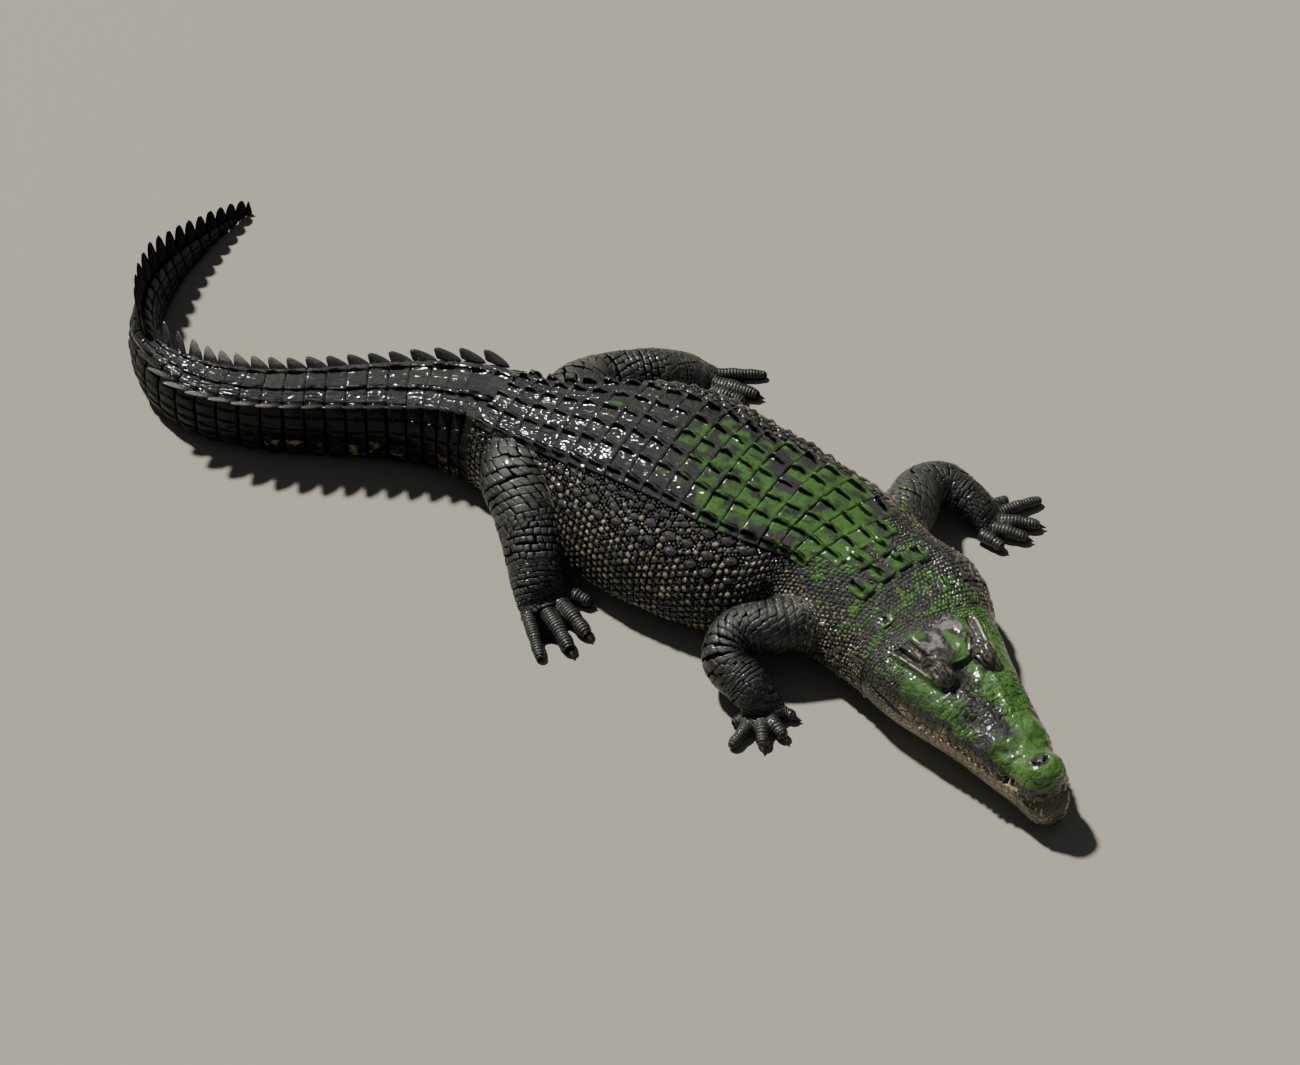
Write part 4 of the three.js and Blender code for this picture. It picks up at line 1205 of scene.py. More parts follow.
def nearest_on_body(points):
    """Station and distance round from the back's ridge, for points on or near the body."""
    grid = body_sheet.points[::4, ::3]
    tree = KDTree(grid.shape[0] * grid.shape[1])
    for k, point in enumerate(grid.reshape(-1, 3)):
        tree.insert(point, k)
    tree.balance()
    hits = np.array([tree.find(point)[1] for point in points])
    row, column = np.divmod(hits, grid.shape[1])
    s = body_stations[::4][row]
    v = np.linspace(0, 1, body_sheet.points.shape[1])[::3][column] * 2 - 1
    return s, v * np.where(v > 0, left_arc[::4][row], right_arc[::4][row])


near_s, near_arc = nearest_on_body(points)
algae, pale = body_markings(near_s, near_arc, points)
tone = 0.35 + 0.3 * noise(points, 20, 50)
# The skin between the scales has a low rise, lowest behind the neck, so it is drawn near black: painted
# crevice shade over its dark colour.
rise = mix(0.05, 0.32, smoothstep(640, 560, near_s))
bare = np.zeros(len(points))
algae *= 0.35
pale *= 0.25
head_algae, head_pale, head_bare, head_dark = head_markings(points[is_head], normals[is_head])
blend = smoothstep(HEAD_END + 16, HEAD_END - 6, head_coordinates(points[is_head])[0])
algae[is_head] = mix(algae[is_head], head_algae, blend)
pale[is_head] = mix(pale[is_head], head_pale, blend)
bare[is_head] = head_bare * blend
rise[is_head] = mix(rise[is_head], 0.9, blend)
# Painted shade in the head's hollows: the rise is lowered where the skin is concave, so they are drawn darker
# and duller.
mean_points = neighbour_mean(skin.data, points)
hollow = np.einsum("ij,ij->i", mean_points - points, normals)
rise[is_head] = np.clip(rise[is_head] - 2.2 * np.maximum(hollow[is_head], 0), 0.05, 1)
dull = np.zeros(len(points))
dull[is_head] = 0.7 * head_bare * blend
# The head's dark marks lower the tone, painted shade in slits and furrows included.
tone[is_head] = np.clip(tone[is_head] * (1 - 0.75 * np.clip(head_dark, 0, 1) * blend), 0, 1)
set_values(skin.data, {"rise": rise, "tone": tone, "algae": algae, "pale": pale, "bare": bare, "dull": dull})

# ---------------------------------------------------------------------------
# Materials
# ---------------------------------------------------------------------------


class Shader:
    """A small helper for building a node material."""

    def __init__(self, name):
        self.material = bpy.data.materials.new(name)
        self.material.use_nodes = True
        self.nodes = self.material.node_tree.nodes
        self.links = self.material.node_tree.links
        self.surface = self.nodes["Principled BSDF"]
        self.place = self.nodes.new("ShaderNodeTexCoord").outputs["Object"]

    def value(self, name):
        node = self.nodes.new("ShaderNodeAttribute")
        node.attribute_name = name
        return node.outputs["Fac"]

    def noise(self, scale, detail=3, rough=0.6):
        node = self.nodes.new("ShaderNodeTexNoise")
        node.inputs["Scale"].default_value = scale
        node.inputs["Detail"].default_value = detail
        node.inputs["Roughness"].default_value = rough
        self.links.new(self.place, node.inputs["Vector"])
        return node.outputs["Fac"]

    def math(self, operation, a, b=0.5):
        node = self.nodes.new("ShaderNodeMath")
        node.operation = operation
        for socket, given in zip(node.inputs, (a, b)):
            self.feed(socket, given)
        return node.outputs["Value"]

    def vary(self, value, texture, amount):
        """A value raised and lowered by a texture, about the texture's middle."""
        return self.math("ADD", value, self.math("MULTIPLY", self.math("SUBTRACT", texture, 0.5), amount))

    def feed(self, socket, given):
        if isinstance(given, bpy.types.NodeSocket):
            self.links.new(given, socket)
        else:
            socket.default_value = given

    def range(self, value, low, high, to_low=0.0, to_high=1.0):
        node = self.nodes.new("ShaderNodeMapRange")
        node.interpolation_type = "SMOOTHSTEP"
        for name, given in zip(("Value", "From Min", "From Max", "To Min", "To Max"),
                               (value, low, high, to_low, to_high)):
            self.feed(node.inputs[name], given)
        return node.outputs["Result"]

    def mix(self, a, b, factor, kind="MIX"):
        node = self.nodes.new("ShaderNodeMix")
        node.data_type = "RGBA"
        node.blend_type = kind
        self.feed(node.inputs["Factor"], factor)
        self.feed(node.inputs[6], a if isinstance(a, bpy.types.NodeSocket) else (*a, 1))
        self.feed(node.inputs[7], b if isinstance(b, bpy.types.NodeSocket) else (*b, 1))
        return node.outputs[2]

    def bump(self, height, strength, distance, normal=None):
        node = self.nodes.new("ShaderNodeBump")
        node.inputs["Strength"].default_value = strength
        node.inputs["Distance"].default_value = distance
        self.links.new(height, node.inputs["Height"])
        if normal:
            self.links.new(normal, node.inputs["Normal"])
        return node.outputs["Normal"]


BLACK_HIDE = (0.0030, 0.0031, 0.0027)
GREY_HIDE = (0.030, 0.030, 0.026)
OLIVE = (0.055, 0.048, 0.016)
TAN = (0.30, 0.26, 0.15)
CREAM = (0.44, 0.39, 0.25)
# Near black for low rise: the dark skin between scales with painted crevice shade, and painted shade on keel
# flanks and in the head's hollows.
GROOVE_AND_SHADE = (0.0010, 0.0010, 0.0009)
BARE_GREY = (0.23, 0.21, 0.205)
ALGAE_DARK = (0.0045, 0.017, 0.0015)
ALGAE_BRIGHT = (0.045, 0.150, 0.008)


def hide_material(name, grey, roughness, wet, grain):
    """Crocodile hide: dark plates, paler tips, algae in patches, wet, with fine wrinkles."""
    sh = Shader(name)
    rise = sh.value("rise")
    tone = sh.value("tone")
    coarse = sh.noise(42, 4)
    fine = sh.noise(260, 4)
    tiny = sh.noise(900, 2)
    shade = sh.math("ADD", sh.math("MULTIPLY", tone, 0.5), sh.math("MULTIPLY", fine, 0.6))
    colour = sh.mix(BLACK_HIDE, grey, sh.range(shade, 0.2, 0.95))
    pale = sh.math("MULTIPLY", sh.value("pale"), sh.range(rise, 0.30, 0.88))
    pale = sh.vary(pale, fine, 0.5)
    pale = sh.vary(pale, tone, 0.35)
    colour = sh.mix(colour, OLIVE, sh.range(pale, 0.22, 0.42))
    colour = sh.mix(colour, TAN, sh.range(pale, 0.42, 0.75))
    colour = sh.mix(colour, CREAM, sh.range(pale, 0.78, 1.1))
    bare = sh.vary(sh.value("bare"), fine, 0.7)
    colour = sh.mix(colour, BARE_GREY, sh.range(bare, 0.3, 1.0))
    algae = sh.vary(sh.value("algae"), fine, 0.75)
    algae = sh.vary(algae, coarse, 0.7)
    lush = sh.math("ADD", sh.math("MULTIPLY", coarse, 0.55), sh.math("MULTIPLY", fine, 0.35))
    lush = sh.math("ADD", lush, sh.math("MULTIPLY", sh.value("algae"), 0.35))
    green = sh.mix(ALGAE_DARK, ALGAE_BRIGHT, sh.range(lush, 0.46, 0.86))
    on_green = sh.range(algae, 0.35, 0.58)
    colour = sh.mix(colour, green, on_green)
    # Painted shade: low rise is drawn toward near black, in crevices over the dark skin between scales, on
    # keel flanks and in the head's hollows.
    colour = sh.mix(GROOVE_AND_SHADE, colour, sh.range(rise, 0.0, 0.45, 0.06, 1.0))
    dirt = sh.range(tiny, 0.35, 0.65, 0.6, 1.3)
    colour = sh.mix(colour, dirt, 1.0, "MULTIPLY")
    sh.links.new(colour, sh.surface.inputs["Base Color"])
    low, high = roughness
    dull = sh.range(coarse, 0.35, 0.65, low, high)
    sh.links.new(sh.math("ADD", dull, sh.math("MULTIPLY", on_green, 0.06)), sh.surface.inputs["Roughness"])
    raised = sh.math("MULTIPLY", sh.range(rise, 0.05, 0.55), sh.range(sh.value("dull"), 0.0, 1.0, 1.0, 0.05))
    sh.links.new(sh.math("MULTIPLY", raised, 0.5), sh.surface.inputs["Specular IOR Level"])
    sh.links.new(sh.math("MULTIPLY", raised, wet), sh.surface.inputs["Coat Weight"])
    sh.surface.inputs["Coat Roughness"].default_value = 0.09
    normal = sh.bump(sh.noise(150, 3, 0.6), 1.0, grain * 0.8)
    normal = sh.bump(sh.noise(620, 3, 0.7), 1.0, grain * 0.9, normal)
    sh.links.new(normal, sh.surface.inputs["Normal"])
    return sh.material


wet_hide = hide_material("wet_hide", GREY_HIDE, (0.36, 0.50), 1.0, 0.0024)
dry_hide = hide_material("dry_hide", (0.044, 0.044, 0.040), (0.34, 0.48), 0.3, 0.0010)
head_hide = hide_material("head_hide", GREY_HIDE, (0.30, 0.44), 0.8, 0.0014)
skin.data.materials.append(head_hide)
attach(skin, "root")
flesh = ["head", "lower_jaw", "neck", "trunk"]
flesh += [f"tail_{i}" for i in range(1, 8)]
flesh += [f"{name}_{key.split('_')[1]}" for key, leg in LEGS.items() for name in leg["names"]]
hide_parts(*flesh)

# ---------------------------------------------------------------------------
# Scales of the back, neck and flanks
# ---------------------------------------------------------------------------

SHIELD_START = 556
FIRST_ROW_END = 18      # the shield's first row is narrower, as far as this
SHIELD_ROWS = 18.5
ROW_PITCH = (CREST_START - SHIELD_START) / SHIELD_ROWS
SCUTE_WIDTH = [(556, 33), (640, 36), (760, 40), (900, 41), (1050, 38), (1140, 32), (1260, 27)]
KEELS = {1: 12.0, 2: 12.5, 3: 16.0}
KEEL_PLACE = {1: 0.05, 2: 0.1, 3: 0.3}
HEAD_BEADS_FROM = 276
HEAD_BEAD_PITCH = 6.6
SCUTE_GRID = (14, 23, 0.04)
SCALE_GRID = (7, 7, 0.9)
SMALL_GRID = (5, 5, 1.0)


def body_cells(s, arc, long, wide, **more):
    """Cells on the body from station, distance round, and full length and width in mm."""
    s = np.asarray(s, float)
    arc = np.asarray(arc, float)
    u, v = body_uv(s, arc)
    cells = {
        "u": u,
        "v": v,
        "du": np.broadcast_to(long, s.shape) / 2 / (TOTAL_LENGTH - BODY_FROM),
        "dv": np.broadcast_to(wide, s.shape) / 4 / half_round(s, arc),
    }
    for key, value in more.items():
        cells[key] = np.broadcast_to(np.asarray(value, float), s.shape).copy()
    return cells


def body_values(s, arc, tone):
    points, _ = body_sheet.at(*body_uv(np.asarray(s, float), np.asarray(arc, float)))
    algae, pale = body_markings(np.asarray(s, float), np.asarray(arc, float), points)
    return {"algae": algae, "pale": pale, "tone": tone}


def add_back_scutes(scales):
    rows = []
    for i, s in enumerate(np.arange(SHIELD_START, CREST_START - ROW_PITCH / 3, ROW_PITCH)):
        width = float(along(SCUTE_WIDTH, s))
        columns = 2 if i == 0 else 3
        for column in range(1, columns + 1):
            rows.extend((s, sign * (column - 0.5) * width, width, column, sign) for sign in (1, -1))
    s, arc, width, column, sign = np.array(rows).T
    count = len(s)
    keel = np.array([KEELS[int(c)] for c in column])
    offset = sign * np.array([KEEL_PLACE[int(c)] for c in column])
    cells = body_cells(
        s + spread(-1.2, 1.2, count), arc,
        ROW_PITCH * spread(0.985, 1.01, count), width * spread(1.04, 1.08, count),
        high=spread(2.6, 3.6, count), keel=keel * spread(0.7, 1.15, count), offset=offset,
        seed=spread(0, 90, count), turn=spread(-0.03, 0.03, count), steady=0.0,
    )
    grow(scales, body_sheet, cells, SCUTE_GRID, scute_profile, body_values(s, arc, spread(0.1, 0.95, count)))


NUCHAL = [(523, -31, 34), (523, 16, 34), (482, -71, 30), (482, -28, 36), (482, 12, 36), (476, 46, 28)]
POST_OCCIPITAL = [(403, -76, 27), (407, 46, 26)]


def add_neck_scutes(scales):
    for rows, long, high, keel in ((NUCHAL, 40, 6.0, 14.0), (POST_OCCIPITAL, 25, 4.0, 6.0)):
        s, arc, width = np.array(rows, float).T
        count = len(s)
        cells = body_cells(
            s, arc, long * spread(0.9, 1.05, count), width, high=high * spread(0.85, 1.15, count),
            keel=keel * spread(0.8, 1.2, count), offset=0.1 * np.sign(arc), seed=spread(0, 90, count),
            turn=spread(-0.16, 0.16, count), steady=0.0,
        )
        values = body_values(s, arc, spread(0.3, 0.9, count))
        values["algae"] = np.maximum(values["algae"], spread(0.55, 0.85, count))
        grow(scales, body_sheet, cells, (15, 15, 0.55), scute_profile, values)


def clear_of(s, arc, rows, margin):
    """True where a small scale stands clear of the big ones in rows of (station, arc, width)."""
    keep = np.ones(len(s), bool)
    for big_s, big_arc, width in rows:
        keep &= np.hypot((s - big_s) / (width * 0.55 + margin), (arc - big_arc) / (width * 0.5 + margin)) > 1
    return keep


def lattice(s_from, s_to, pitch, arc_from, arc_to, spacing, jitter=0.12):
    """Rows across the body: station and distance round of each place, every other row staggered."""
    places = []
    for i, s in enumerate(np.arange(s_from, s_to, pitch)):
        arcs = np.arange(arc_from + spacing * 0.5 * (i % 2), arc_to, spacing)
        places.append(np.stack([np.full(len(arcs), s), arcs], -1))
    places = np.concatenate(places)
    places[:, 0] += spread(-jitter, jitter, len(places)) * pitch
    places[:, 1] += spread(-jitter, jitter, len(places)) * spacing
    return places.T


def add_neck_beads(scales):
    s, arc = lattice(320, 640, 7.2, -270, 270, 7.6, 0.2)
    shield_edge = 2 * along(SCUTE_WIDTH, s) + 3
    shield_edge = np.where(s < SHIELD_START + FIRST_ROW_END, shield_edge, shield_edge * 1.5)
    keep = (s < SHIELD_START - 22) | (np.abs(arc) > shield_edge)
    keep &= clear_of(s, arc, NUCHAL, 1) & clear_of(s, arc, POST_OCCIPITAL, -2.5)
    keep &= head_coordinates(body_sheet.at(*body_uv(s, arc))[0])[0] > HEAD_END + 12
    s, arc = s[keep], arc[keep]
    count = len(s)
    large = spread(0, 1, count)
    size = np.where(large > 0.86, spread(10, 13, count), spread(6.8, 8.8, count))
    cells = body_cells(s, arc, size * spread(1.0, 1.25, count), size, high=size * spread(0.26, 0.42, count),
                       turn=spread(-0.3, 0.3, count))
    values = body_values(s, arc, spread(0.05, 1, count))
    values["pale"] = np.maximum(values["pale"], 0.3) * spread(0.5, 1.15, count)
    values["bare"] = spread(0.1, 0.5, count)
    grow(scales, body_sheet, cells, SMALL_GRID, dome_profile, values, root=1.0, reach=25)


FLANK_PITCH = ROW_PITCH / 3
FLANK_END = 0.74        # where the flank meets the belly plates, as a share of the half round


def flank_edge(s):
    """Distance round from the back's ridge to the lower edge of the shield."""
    columns = np.where(s < SHIELD_START + FIRST_ROW_END, 2, 3)
    return columns * along(SCUTE_WIDTH, s) + 3


def add_head_beads(scales):
    """Small scales of the jowls, cheeks and nape, which carry the neck's scales on to the head."""
    stations = np.arange(HEAD_BEADS_FROM, HEAD_END + 16, 4.0)
    angles = np.linspace(0.02, math.pi - 0.02, 181)
    rows, lengths = even_columns(upper_head_points(stations[:, None], angles[None, :], HEAD_INSET), 121)
    sheet = Sheet(rows, (0, 0, 1, 1))
    length = stations[-1] - stations[0]
    round_head = float(lengths.mean())
    s, arc = lattice(stations[0], stations[-1], HEAD_BEAD_PITCH, 0, round_head, HEAD_BEAD_PITCH * 1.08, 0.25)
    u, v = (s - stations[0]) / length, arc / round_head
    points, normals = sheet.at(u, v)
    _, left, _ = head_coordinates(points)
    side = np.abs(left)
    beyond = side - along(CHEEK_RIDGE, s) - 5
    ragged = 14 * (noise(points, 16, 81) - 0.5)
    keep = (beyond > 0) & (s + ragged + 0.5 * np.minimum(beyond, 40) > 304)
    keep |= (s + 0.5 * ragged > 338) & (side < 90)
    s, u, v, points, normals = s[keep], u[keep], v[keep], points[keep], normals[keep]
    count = len(u)
    size = spread(5.2, 7.8, count) * mix(0.7, 1, smoothstep(290, 340, s))
    cells = {
        "u": u, "v": v, "du": size * spread(1.0, 1.25, count) / 2 / length, "dv": size / 2 / round_head,
        "high": size * spread(0.22, 0.36, count), "turn": spread(-0.3, 0.3, count),
    }
    algae, pale, bare, dark = head_markings(points, normals)
    values = {
        "algae": algae * 0.9,
        "pale": np.maximum(pale, 0.35) * spread(0.5, 1.15, count),
        "bare": 0.3 * bare,
        # Darker where the head is marked dark, painted shade in slits and furrows included.
        "tone": spread(0.05, 1, count) * (1 - 0.6 * np.clip(dark, 0, 1)),
    }
    grow(scales, sheet, cells, SMALL_GRID, dome_profile, values, root=1.0)


def add_flank_scales(scales, sign):
    """Raised scales in upright rows, with large ovals near the back and small beads between."""
    s, arc = lattice(640, TRUNK_END + 30, FLANK_PITCH, 60, 470, 13, 0.1)
    limit = np.interp(s, body_stations, left_arc)
    keep = (arc > flank_edge(s) + 4) & (arc < FLANK_END * limit)
    ovals = []
    for row, shift in ((14, 0.0), (40, 0.5), (66, 0.2)):
        oval_s = np.arange(700 + shift * ROW_PITCH, 1180, ROW_PITCH)
        oval_s = oval_s + spread(-5, 5, len(oval_s))
        ovals.append(np.stack([oval_s, flank_edge(oval_s) + row + spread(-5, 5, len(oval_s)),
                               spread(16, 22, len(oval_s))], -1))
    ovals = np.concatenate(ovals)
    keep &= clear_of(s, arc, ovals, 2.0)
    s, arc = s[keep], arc[keep]
    count = len(s)
    large = spread(0, 1, count)
    size = mix(9.0, 14.0, large**1.6)
    cells = body_cells(s, sign * arc, size * spread(0.95, 1.2, count), size,
                       high=size * spread(0.26, 0.38, count), turn=spread(-0.3, 0.3, count))
    values = body_values(s, sign * arc, spread(0.05, 1, count))
    values["pale"] = values["pale"] * mix(0.5, 1.2, spread(0, 1, count))
    grow(scales, body_sheet, cells, SCALE_GRID, dome_profile, values)
    s, arc, size = ovals.T
    count = len(s)
    cells = body_cells(s, sign * arc, size * 1.3, size * 0.8, high=size * 0.36,
                       turn=spread(-0.25, 0.25, count))
    values = body_values(s, sign * arc, spread(0.3, 0.8, count))
    values["pale"] = values["pale"] * 0.25
    values["bare"] = 0.35
    grow(scales, body_sheet, cells, (9, 9, 1.0), dome_profile, values)
    s, arc = lattice(640, TRUNK_END + 20, 6.0, 60, 420, 6.4, 0.24)
    limit = np.interp(s, body_stations, left_arc)
    keep = (arc > flank_edge(s) + 1) & (arc < 0.7 * limit)
    s, arc = s[keep], arc[keep]
    count = len(s)
    cells = body_cells(s, sign * arc, 5.8, 5.8, high=spread(0.9, 1.9, count))
    values = body_values(s, sign * arc, spread(0, 0.6, count))
    values["pale"] = values["pale"] * 0.6
    grow(scales, body_sheet, cells, (4, 4, 1.0), dome_profile, values, root=0.8)


BELLY_PITCH = ROW_PITCH * 5 / 6


def add_belly_plates(scales, sign):
    """Squarish pale plates along the edge of the belly."""
    places = []
    for s in np.arange(640, TRUNK_END + 40, BELLY_PITCH):
        limit = float(np.interp(s, body_stations, left_arc))
        places.extend((s, arc) for arc in np.arange(FLANK_END * limit + 10, 0.97 * limit, 20))
    s, arc = np.array(places).T
    count = len(s)
    cells = body_cells(s, sign * arc, BELLY_PITCH * 0.96, 19.4, high=spread(2.0, 2.8, count),
                       turn=spread(-0.06, 0.06, count))
    values = body_values(s, sign * arc, spread(0.3, 0.8, count))
    grow(scales, body_sheet, cells, (6, 6, 0.25), plate_profile, values)


# ---------------------------------------------------------------------------
# Tail: plates in whorls, and the crests
# ---------------------------------------------------------------------------


whorl_starts = [float(CREST_START)]
while whorl_starts[-1] < CREST_END - WHORL_PITCH[-1][1]:
    whorl_starts.append(whorl_starts[-1] + float(along(WHORL_PITCH, whorl_starts[-1])))


MERGE_LENGTH = 150      # the stretch over which the two crests come together


def merging_at(s):
    """How far the two crests have come together: 0 apart, 1 one crest."""
    return smoothstep(CREST_MERGE - MERGE_LENGTH, CREST_MERGE, s)


def crest_side(s):
    """Sideways distance of a crest from the tail's middle line."""
    return along(BODY_HALF_WIDTH, s) * mix(0.7, 0.36, merging_at(s))


def arc_at_side(s, side):
    """Distance round from the tail's ridge to a point that far to the side, on top."""
    half = along(BODY_HALF_WIDTH, s)
    ring = body_points(np.array([[s]]), quarter_turns[None, :121], BODY_INSET)[0]
    travelled = distances(ring)
    across = np.abs(np.cos(quarter_turns[:121])) ** (2 / along(BODY_SQUARENESS, s)) * half
    return float(np.interp(side, across, travelled))


SIDE_PLATES = [(1250, 25), (1900, 21), (2450, 9)]       # width of the plates of the tail's sides
# Top and side plates: 0 or 1, shape, and their cover along and round as shares of their cells.
TAIL_KINDS = [(0, scute_profile, 1.02, 1.06), (1, whorl_profile, 0.97, 1.12)]


def add_tail_plates(scales):
    rows = []
    for start in whorl_starts:
        pitch = float(along(WHORL_PITCH, start))
        s = start + pitch / 2
        limit = float(np.interp(s, body_stations, left_arc))
        single = start >= CREST_MERGE
        if single:
            edge = 4.0
        else:
            edge = arc_at_side(s, float(crest_side(s)))
            keel = mix(12.0, 7.0, smoothstep(CREST_START, CREST_MERGE, s))
            rows.append((s, edge * 0.35, edge * 0.70, 2.2, keel, pitch, 0))
            rows.append((s, edge * 0.85, edge * 0.30, 2.2, 0.0, pitch, 0))
        size = float(along(SIDE_PLATES, s))
        count = max(2, int(round((0.95 * limit - edge) / size)))
        share = (np.arange(count) + 0.5) / count
        weight = np.interp(share, [0, 1], [1.15, 0.8])
        bounds = edge + (0.95 * limit - edge) * np.concatenate([[0], np.cumsum(weight) / weight.sum()])
        for low, high in zip(bounds, bounds[1:]):
            rows.append((s, (low + high) / 2, high - low, 5.0, 1.6, pitch, 1))
    rows = np.array(rows)
    for on_side, profile, coverage, width_share in TAIL_KINDS:
        s, arc, width, high, keel, pitch, _ = rows[rows[:, -1] == on_side].T
        thin = np.interp(s, [1250, 2000, 2450], [1, 0.8, 0.4])
        for sign in (1, -1):
            count = len(s)
            cells = body_cells(
                s + spread(-0.8, 0.8, count), sign * arc, pitch * coverage, width * width_share,
                high=high * thin * spread(0.85, 1.15, count), keel=keel * thin * spread(0.7, 1.3, count),
                offset=0.3 * sign, way=sign, seed=spread(0, 90, count), turn=spread(-0.03, 0.03, count),
                steady=0.8,
            )
            if on_side:
                cells["flecked"] = True
            # Side plates get a much darker tone than the top: their own dark hide, deepened as painted shade
            # on the tail's sides.
            tone = spread(0.1, 0.9, count) * mix(1, 0.22, on_side)
            values = body_values(s, sign * arc, tone)
            blotch = noise(np.stack([s, sign * arc], -1), 42, 60)
            low = smoothstep(0.42, 0.62, arc / np.interp(s, body_stations, left_arc))
            values["pale"] = mix(0.45, 0.85, smoothstep(0.4, 0.66, blotch)) * low * smoothstep(2050, 1800, s)
            values["dull"] = 0.72 * on_side
            grow(scales, body_sheet, cells, (11, 17, 0.04), profile, values)


def blade(s, left, foot, tall, long, thick, sweep, lean, seed):
    """A crest scute: a thick leaf standing on the tail, its blunt tip swept to the rear."""
    rows, sides = 11, 16
    t = np.linspace(0, 1, rows)[:, None]
    turn = np.linspace(0, 2 * math.pi, sides + 1)[None, :]
    upright = 1 - min(1, abs(lean) / tall)
    narrowing = np.clip(1 - t**mix(1.6, 2.6, upright), 0, 1) ** 0.8
    outline = mix(0.12, 0.3, upright) + mix(0.88, 0.7, upright) * narrowing
    width = thick / 2 * (0.25 + 0.75 * np.sqrt(1 - t))
    height = foot - SCUTE_ROOT + (tall + SCUTE_ROOT) * t
    groove = 1 + 0.13 * np.sin(6 * turn + seed) * (1 - t)
    at = s + sweep * t**1.5 + long / 2 * outline * np.cos(turn)
    side = left + lean * t + width * np.sin(turn) * groove + along(BODY_LEAN, s) * height
    return place(at, side, height + 0.03 * tall * np.sin(3 * turn + 2 * seed) * t)


def crest_blades():
    """Place, size, lean and paleness of every crest scute, as in the CAD source."""
    blades = []
    for start in whorl_starts[1:]:
        pitch = float(along(WHORL_PITCH, start))
        s = start + SCUTE_MIDDLE * pitch
        top = float(along(BODY_TOP, start))
        if start >= CREST_MERGE:
            tall = float(along(CREST_HEIGHT, start))
            blades.append((s, 0, top - 6, tall, 1.12 * pitch, 10, 0.14 * pitch, 0, 0.0))
            continue
        grown = float(smoothstep(CREST_START, CREST_MERGE - 80, start))
        merging = float(merging_at(start))
        size = mix(14, 29, grown) + 9 * merging
        side = float(crest_side(start))
        for sign in (1, -1):
            rise, lean = CREST_STANCE[sign]
            tall = size * mix(rise, 0.95, merging)
            lean = sign * size * mix(lean, 0.3, merging)
            blades.append((s, sign * side, top - mix(10, 7, grown), tall, 1.06 * pitch, 13,
                           0.48 * pitch, lean, 0.6 * grown * (1 - merging)))
    return blades


def add_crests(scales):
    for number, (s, left, foot, tall, long, thick, sweep, lean, pale) in enumerate(crest_blades()):
        rings = blade(s, left, foot, tall * float(spread(0.95, 1.04, 1)[0]), long, thick, sweep, lean, number)
        rows, columns = rings.shape[0], rings.shape[1] - 1
        rings = rings[:, :-1]
        index, quads = tube_faces(rows, columns)
        t = np.repeat(np.linspace(0, 1, rows), columns)
        turn = np.tile(np.linspace(0, 2 * math.pi, columns, endpoint=False), rows)
        arc = 0.0 if left == 0 else math.copysign(crest_side(s), left)
        u, v = body_uv(np.array([s]), np.array([arc]))
        uv = np.stack([u + np.cos(turn) * PATCH / 2, v + (t - 0.5) * PATCH], -1)[None]
        at_tip = smoothstep(0.15, 0.75, t)
        values = {
            "rise": (0.2 + 0.8 * smoothstep(0.1, 0.5, t))[None],
            "tone": float(spread(0.0, 0.4, 1)[0]) * (left != 0),
            "pale": (pale * at_tip)[None],
            "bare": (1.5 * pale * at_tip)[None],
            "dull": 1.0 * (left == 0),
        }
        uv = np.clip(uv, UV_MARGIN, 1 - UV_MARGIN)
        scales.add(rings.reshape(1, -1, 3), uv, quads, [index[0][::-1], index[-1]], values)


# ---------------------------------------------------------------------------
# Legs
# ---------------------------------------------------------------------------


def limb_lengths(sheet):
    travelled = distances(sheet.points.mean(axis=1))
    around = np.linalg.norm(np.diff(sheet.points, axis=1), axis=-1).sum(axis=1)
    return travelled, around


def limb_cells(sheet, start, stop, pitch, width, slant, size=1.0, high=1.8):
    """Slanting rows of cells round a limb, between two shares of its length."""
    travelled, around = limb_lengths(sheet)
    share = travelled / travelled[-1]
    columns = max(4, int(round(np.interp((start + stop) / 2, share, around) / width)))
    rows = max(1, int(round((stop - start) * travelled[-1] / pitch)))
    i, j = np.meshgrid(np.arange(rows), np.arange(columns), indexing="ij")
    at = start + (stop - start) * (i.ravel() + 0.5) / rows
    wave = 0.35 * np.sin(2 * math.pi * (j.ravel() / columns + 0.13 * i.ravel()))
    at = at + wave * (stop - start) / rows
    row_share = np.interp(at, share, np.linspace(0, 1, len(share)))
    v = np.mod((j.ravel() + 0.5 + (0.5 * slant + 0.25) * i.ravel()) / columns, 1)
    step = np.interp(at, share, np.gradient(np.linspace(0, 1, len(share)), share)) * (stop - start) / rows
    count = len(at)
    cells = {
        "u": row_share + step * spread(-0.14, 0.14, count),
        "v": v + spread(-0.14, 0.14, count) / columns,
        "du": step * size / 2 * spread(0.92, 1.16, count),
        "dv": size / columns / 2 * spread(0.92, 1.16, count),
        "high": high * spread(0.55, 1.2, count),
        "turn": slant + spread(-0.25, 0.25, count),
    }
    return cells


# Each zone: start and end as shares of the limb, pitch along, width round, slant, kind, size, height.
LIMB_ZONES = {
    "fore": [
        (0.03, 0.40, 12.0, 14, 0.45, "shingle", 1.12, 1.5),
        (0.40, 0.66, 10.5, 17, 0.3, "shingle", 1.12, 1.5),
        (0.66, 0.82, 6.0, 24, 0.1, "shingle", 1.12, 1.3),
        (0.82, 1.0, 6.5, 7.5, 0.2, "shingle", 1.12, 1.2),
    ],
    "hind": [
        (0.03, 0.47, 13.0, 16, 0.5, "shingle", 1.12, 1.6),
        (0.47, 0.72, 11.0, 12.8, 0.05, "plate", 1.0, 2.1),
        (0.72, 1.0, 6.8, 7.4, 0.2, "shingle", 1.12, 1.2),
    ],
}
PROFILES = {"shingle": shingle_profile, "plate": plate_profile}
ROUNDNESS = {"shingle": 0.45, "plate": 0.2}
BAND_PITCH = 5.6


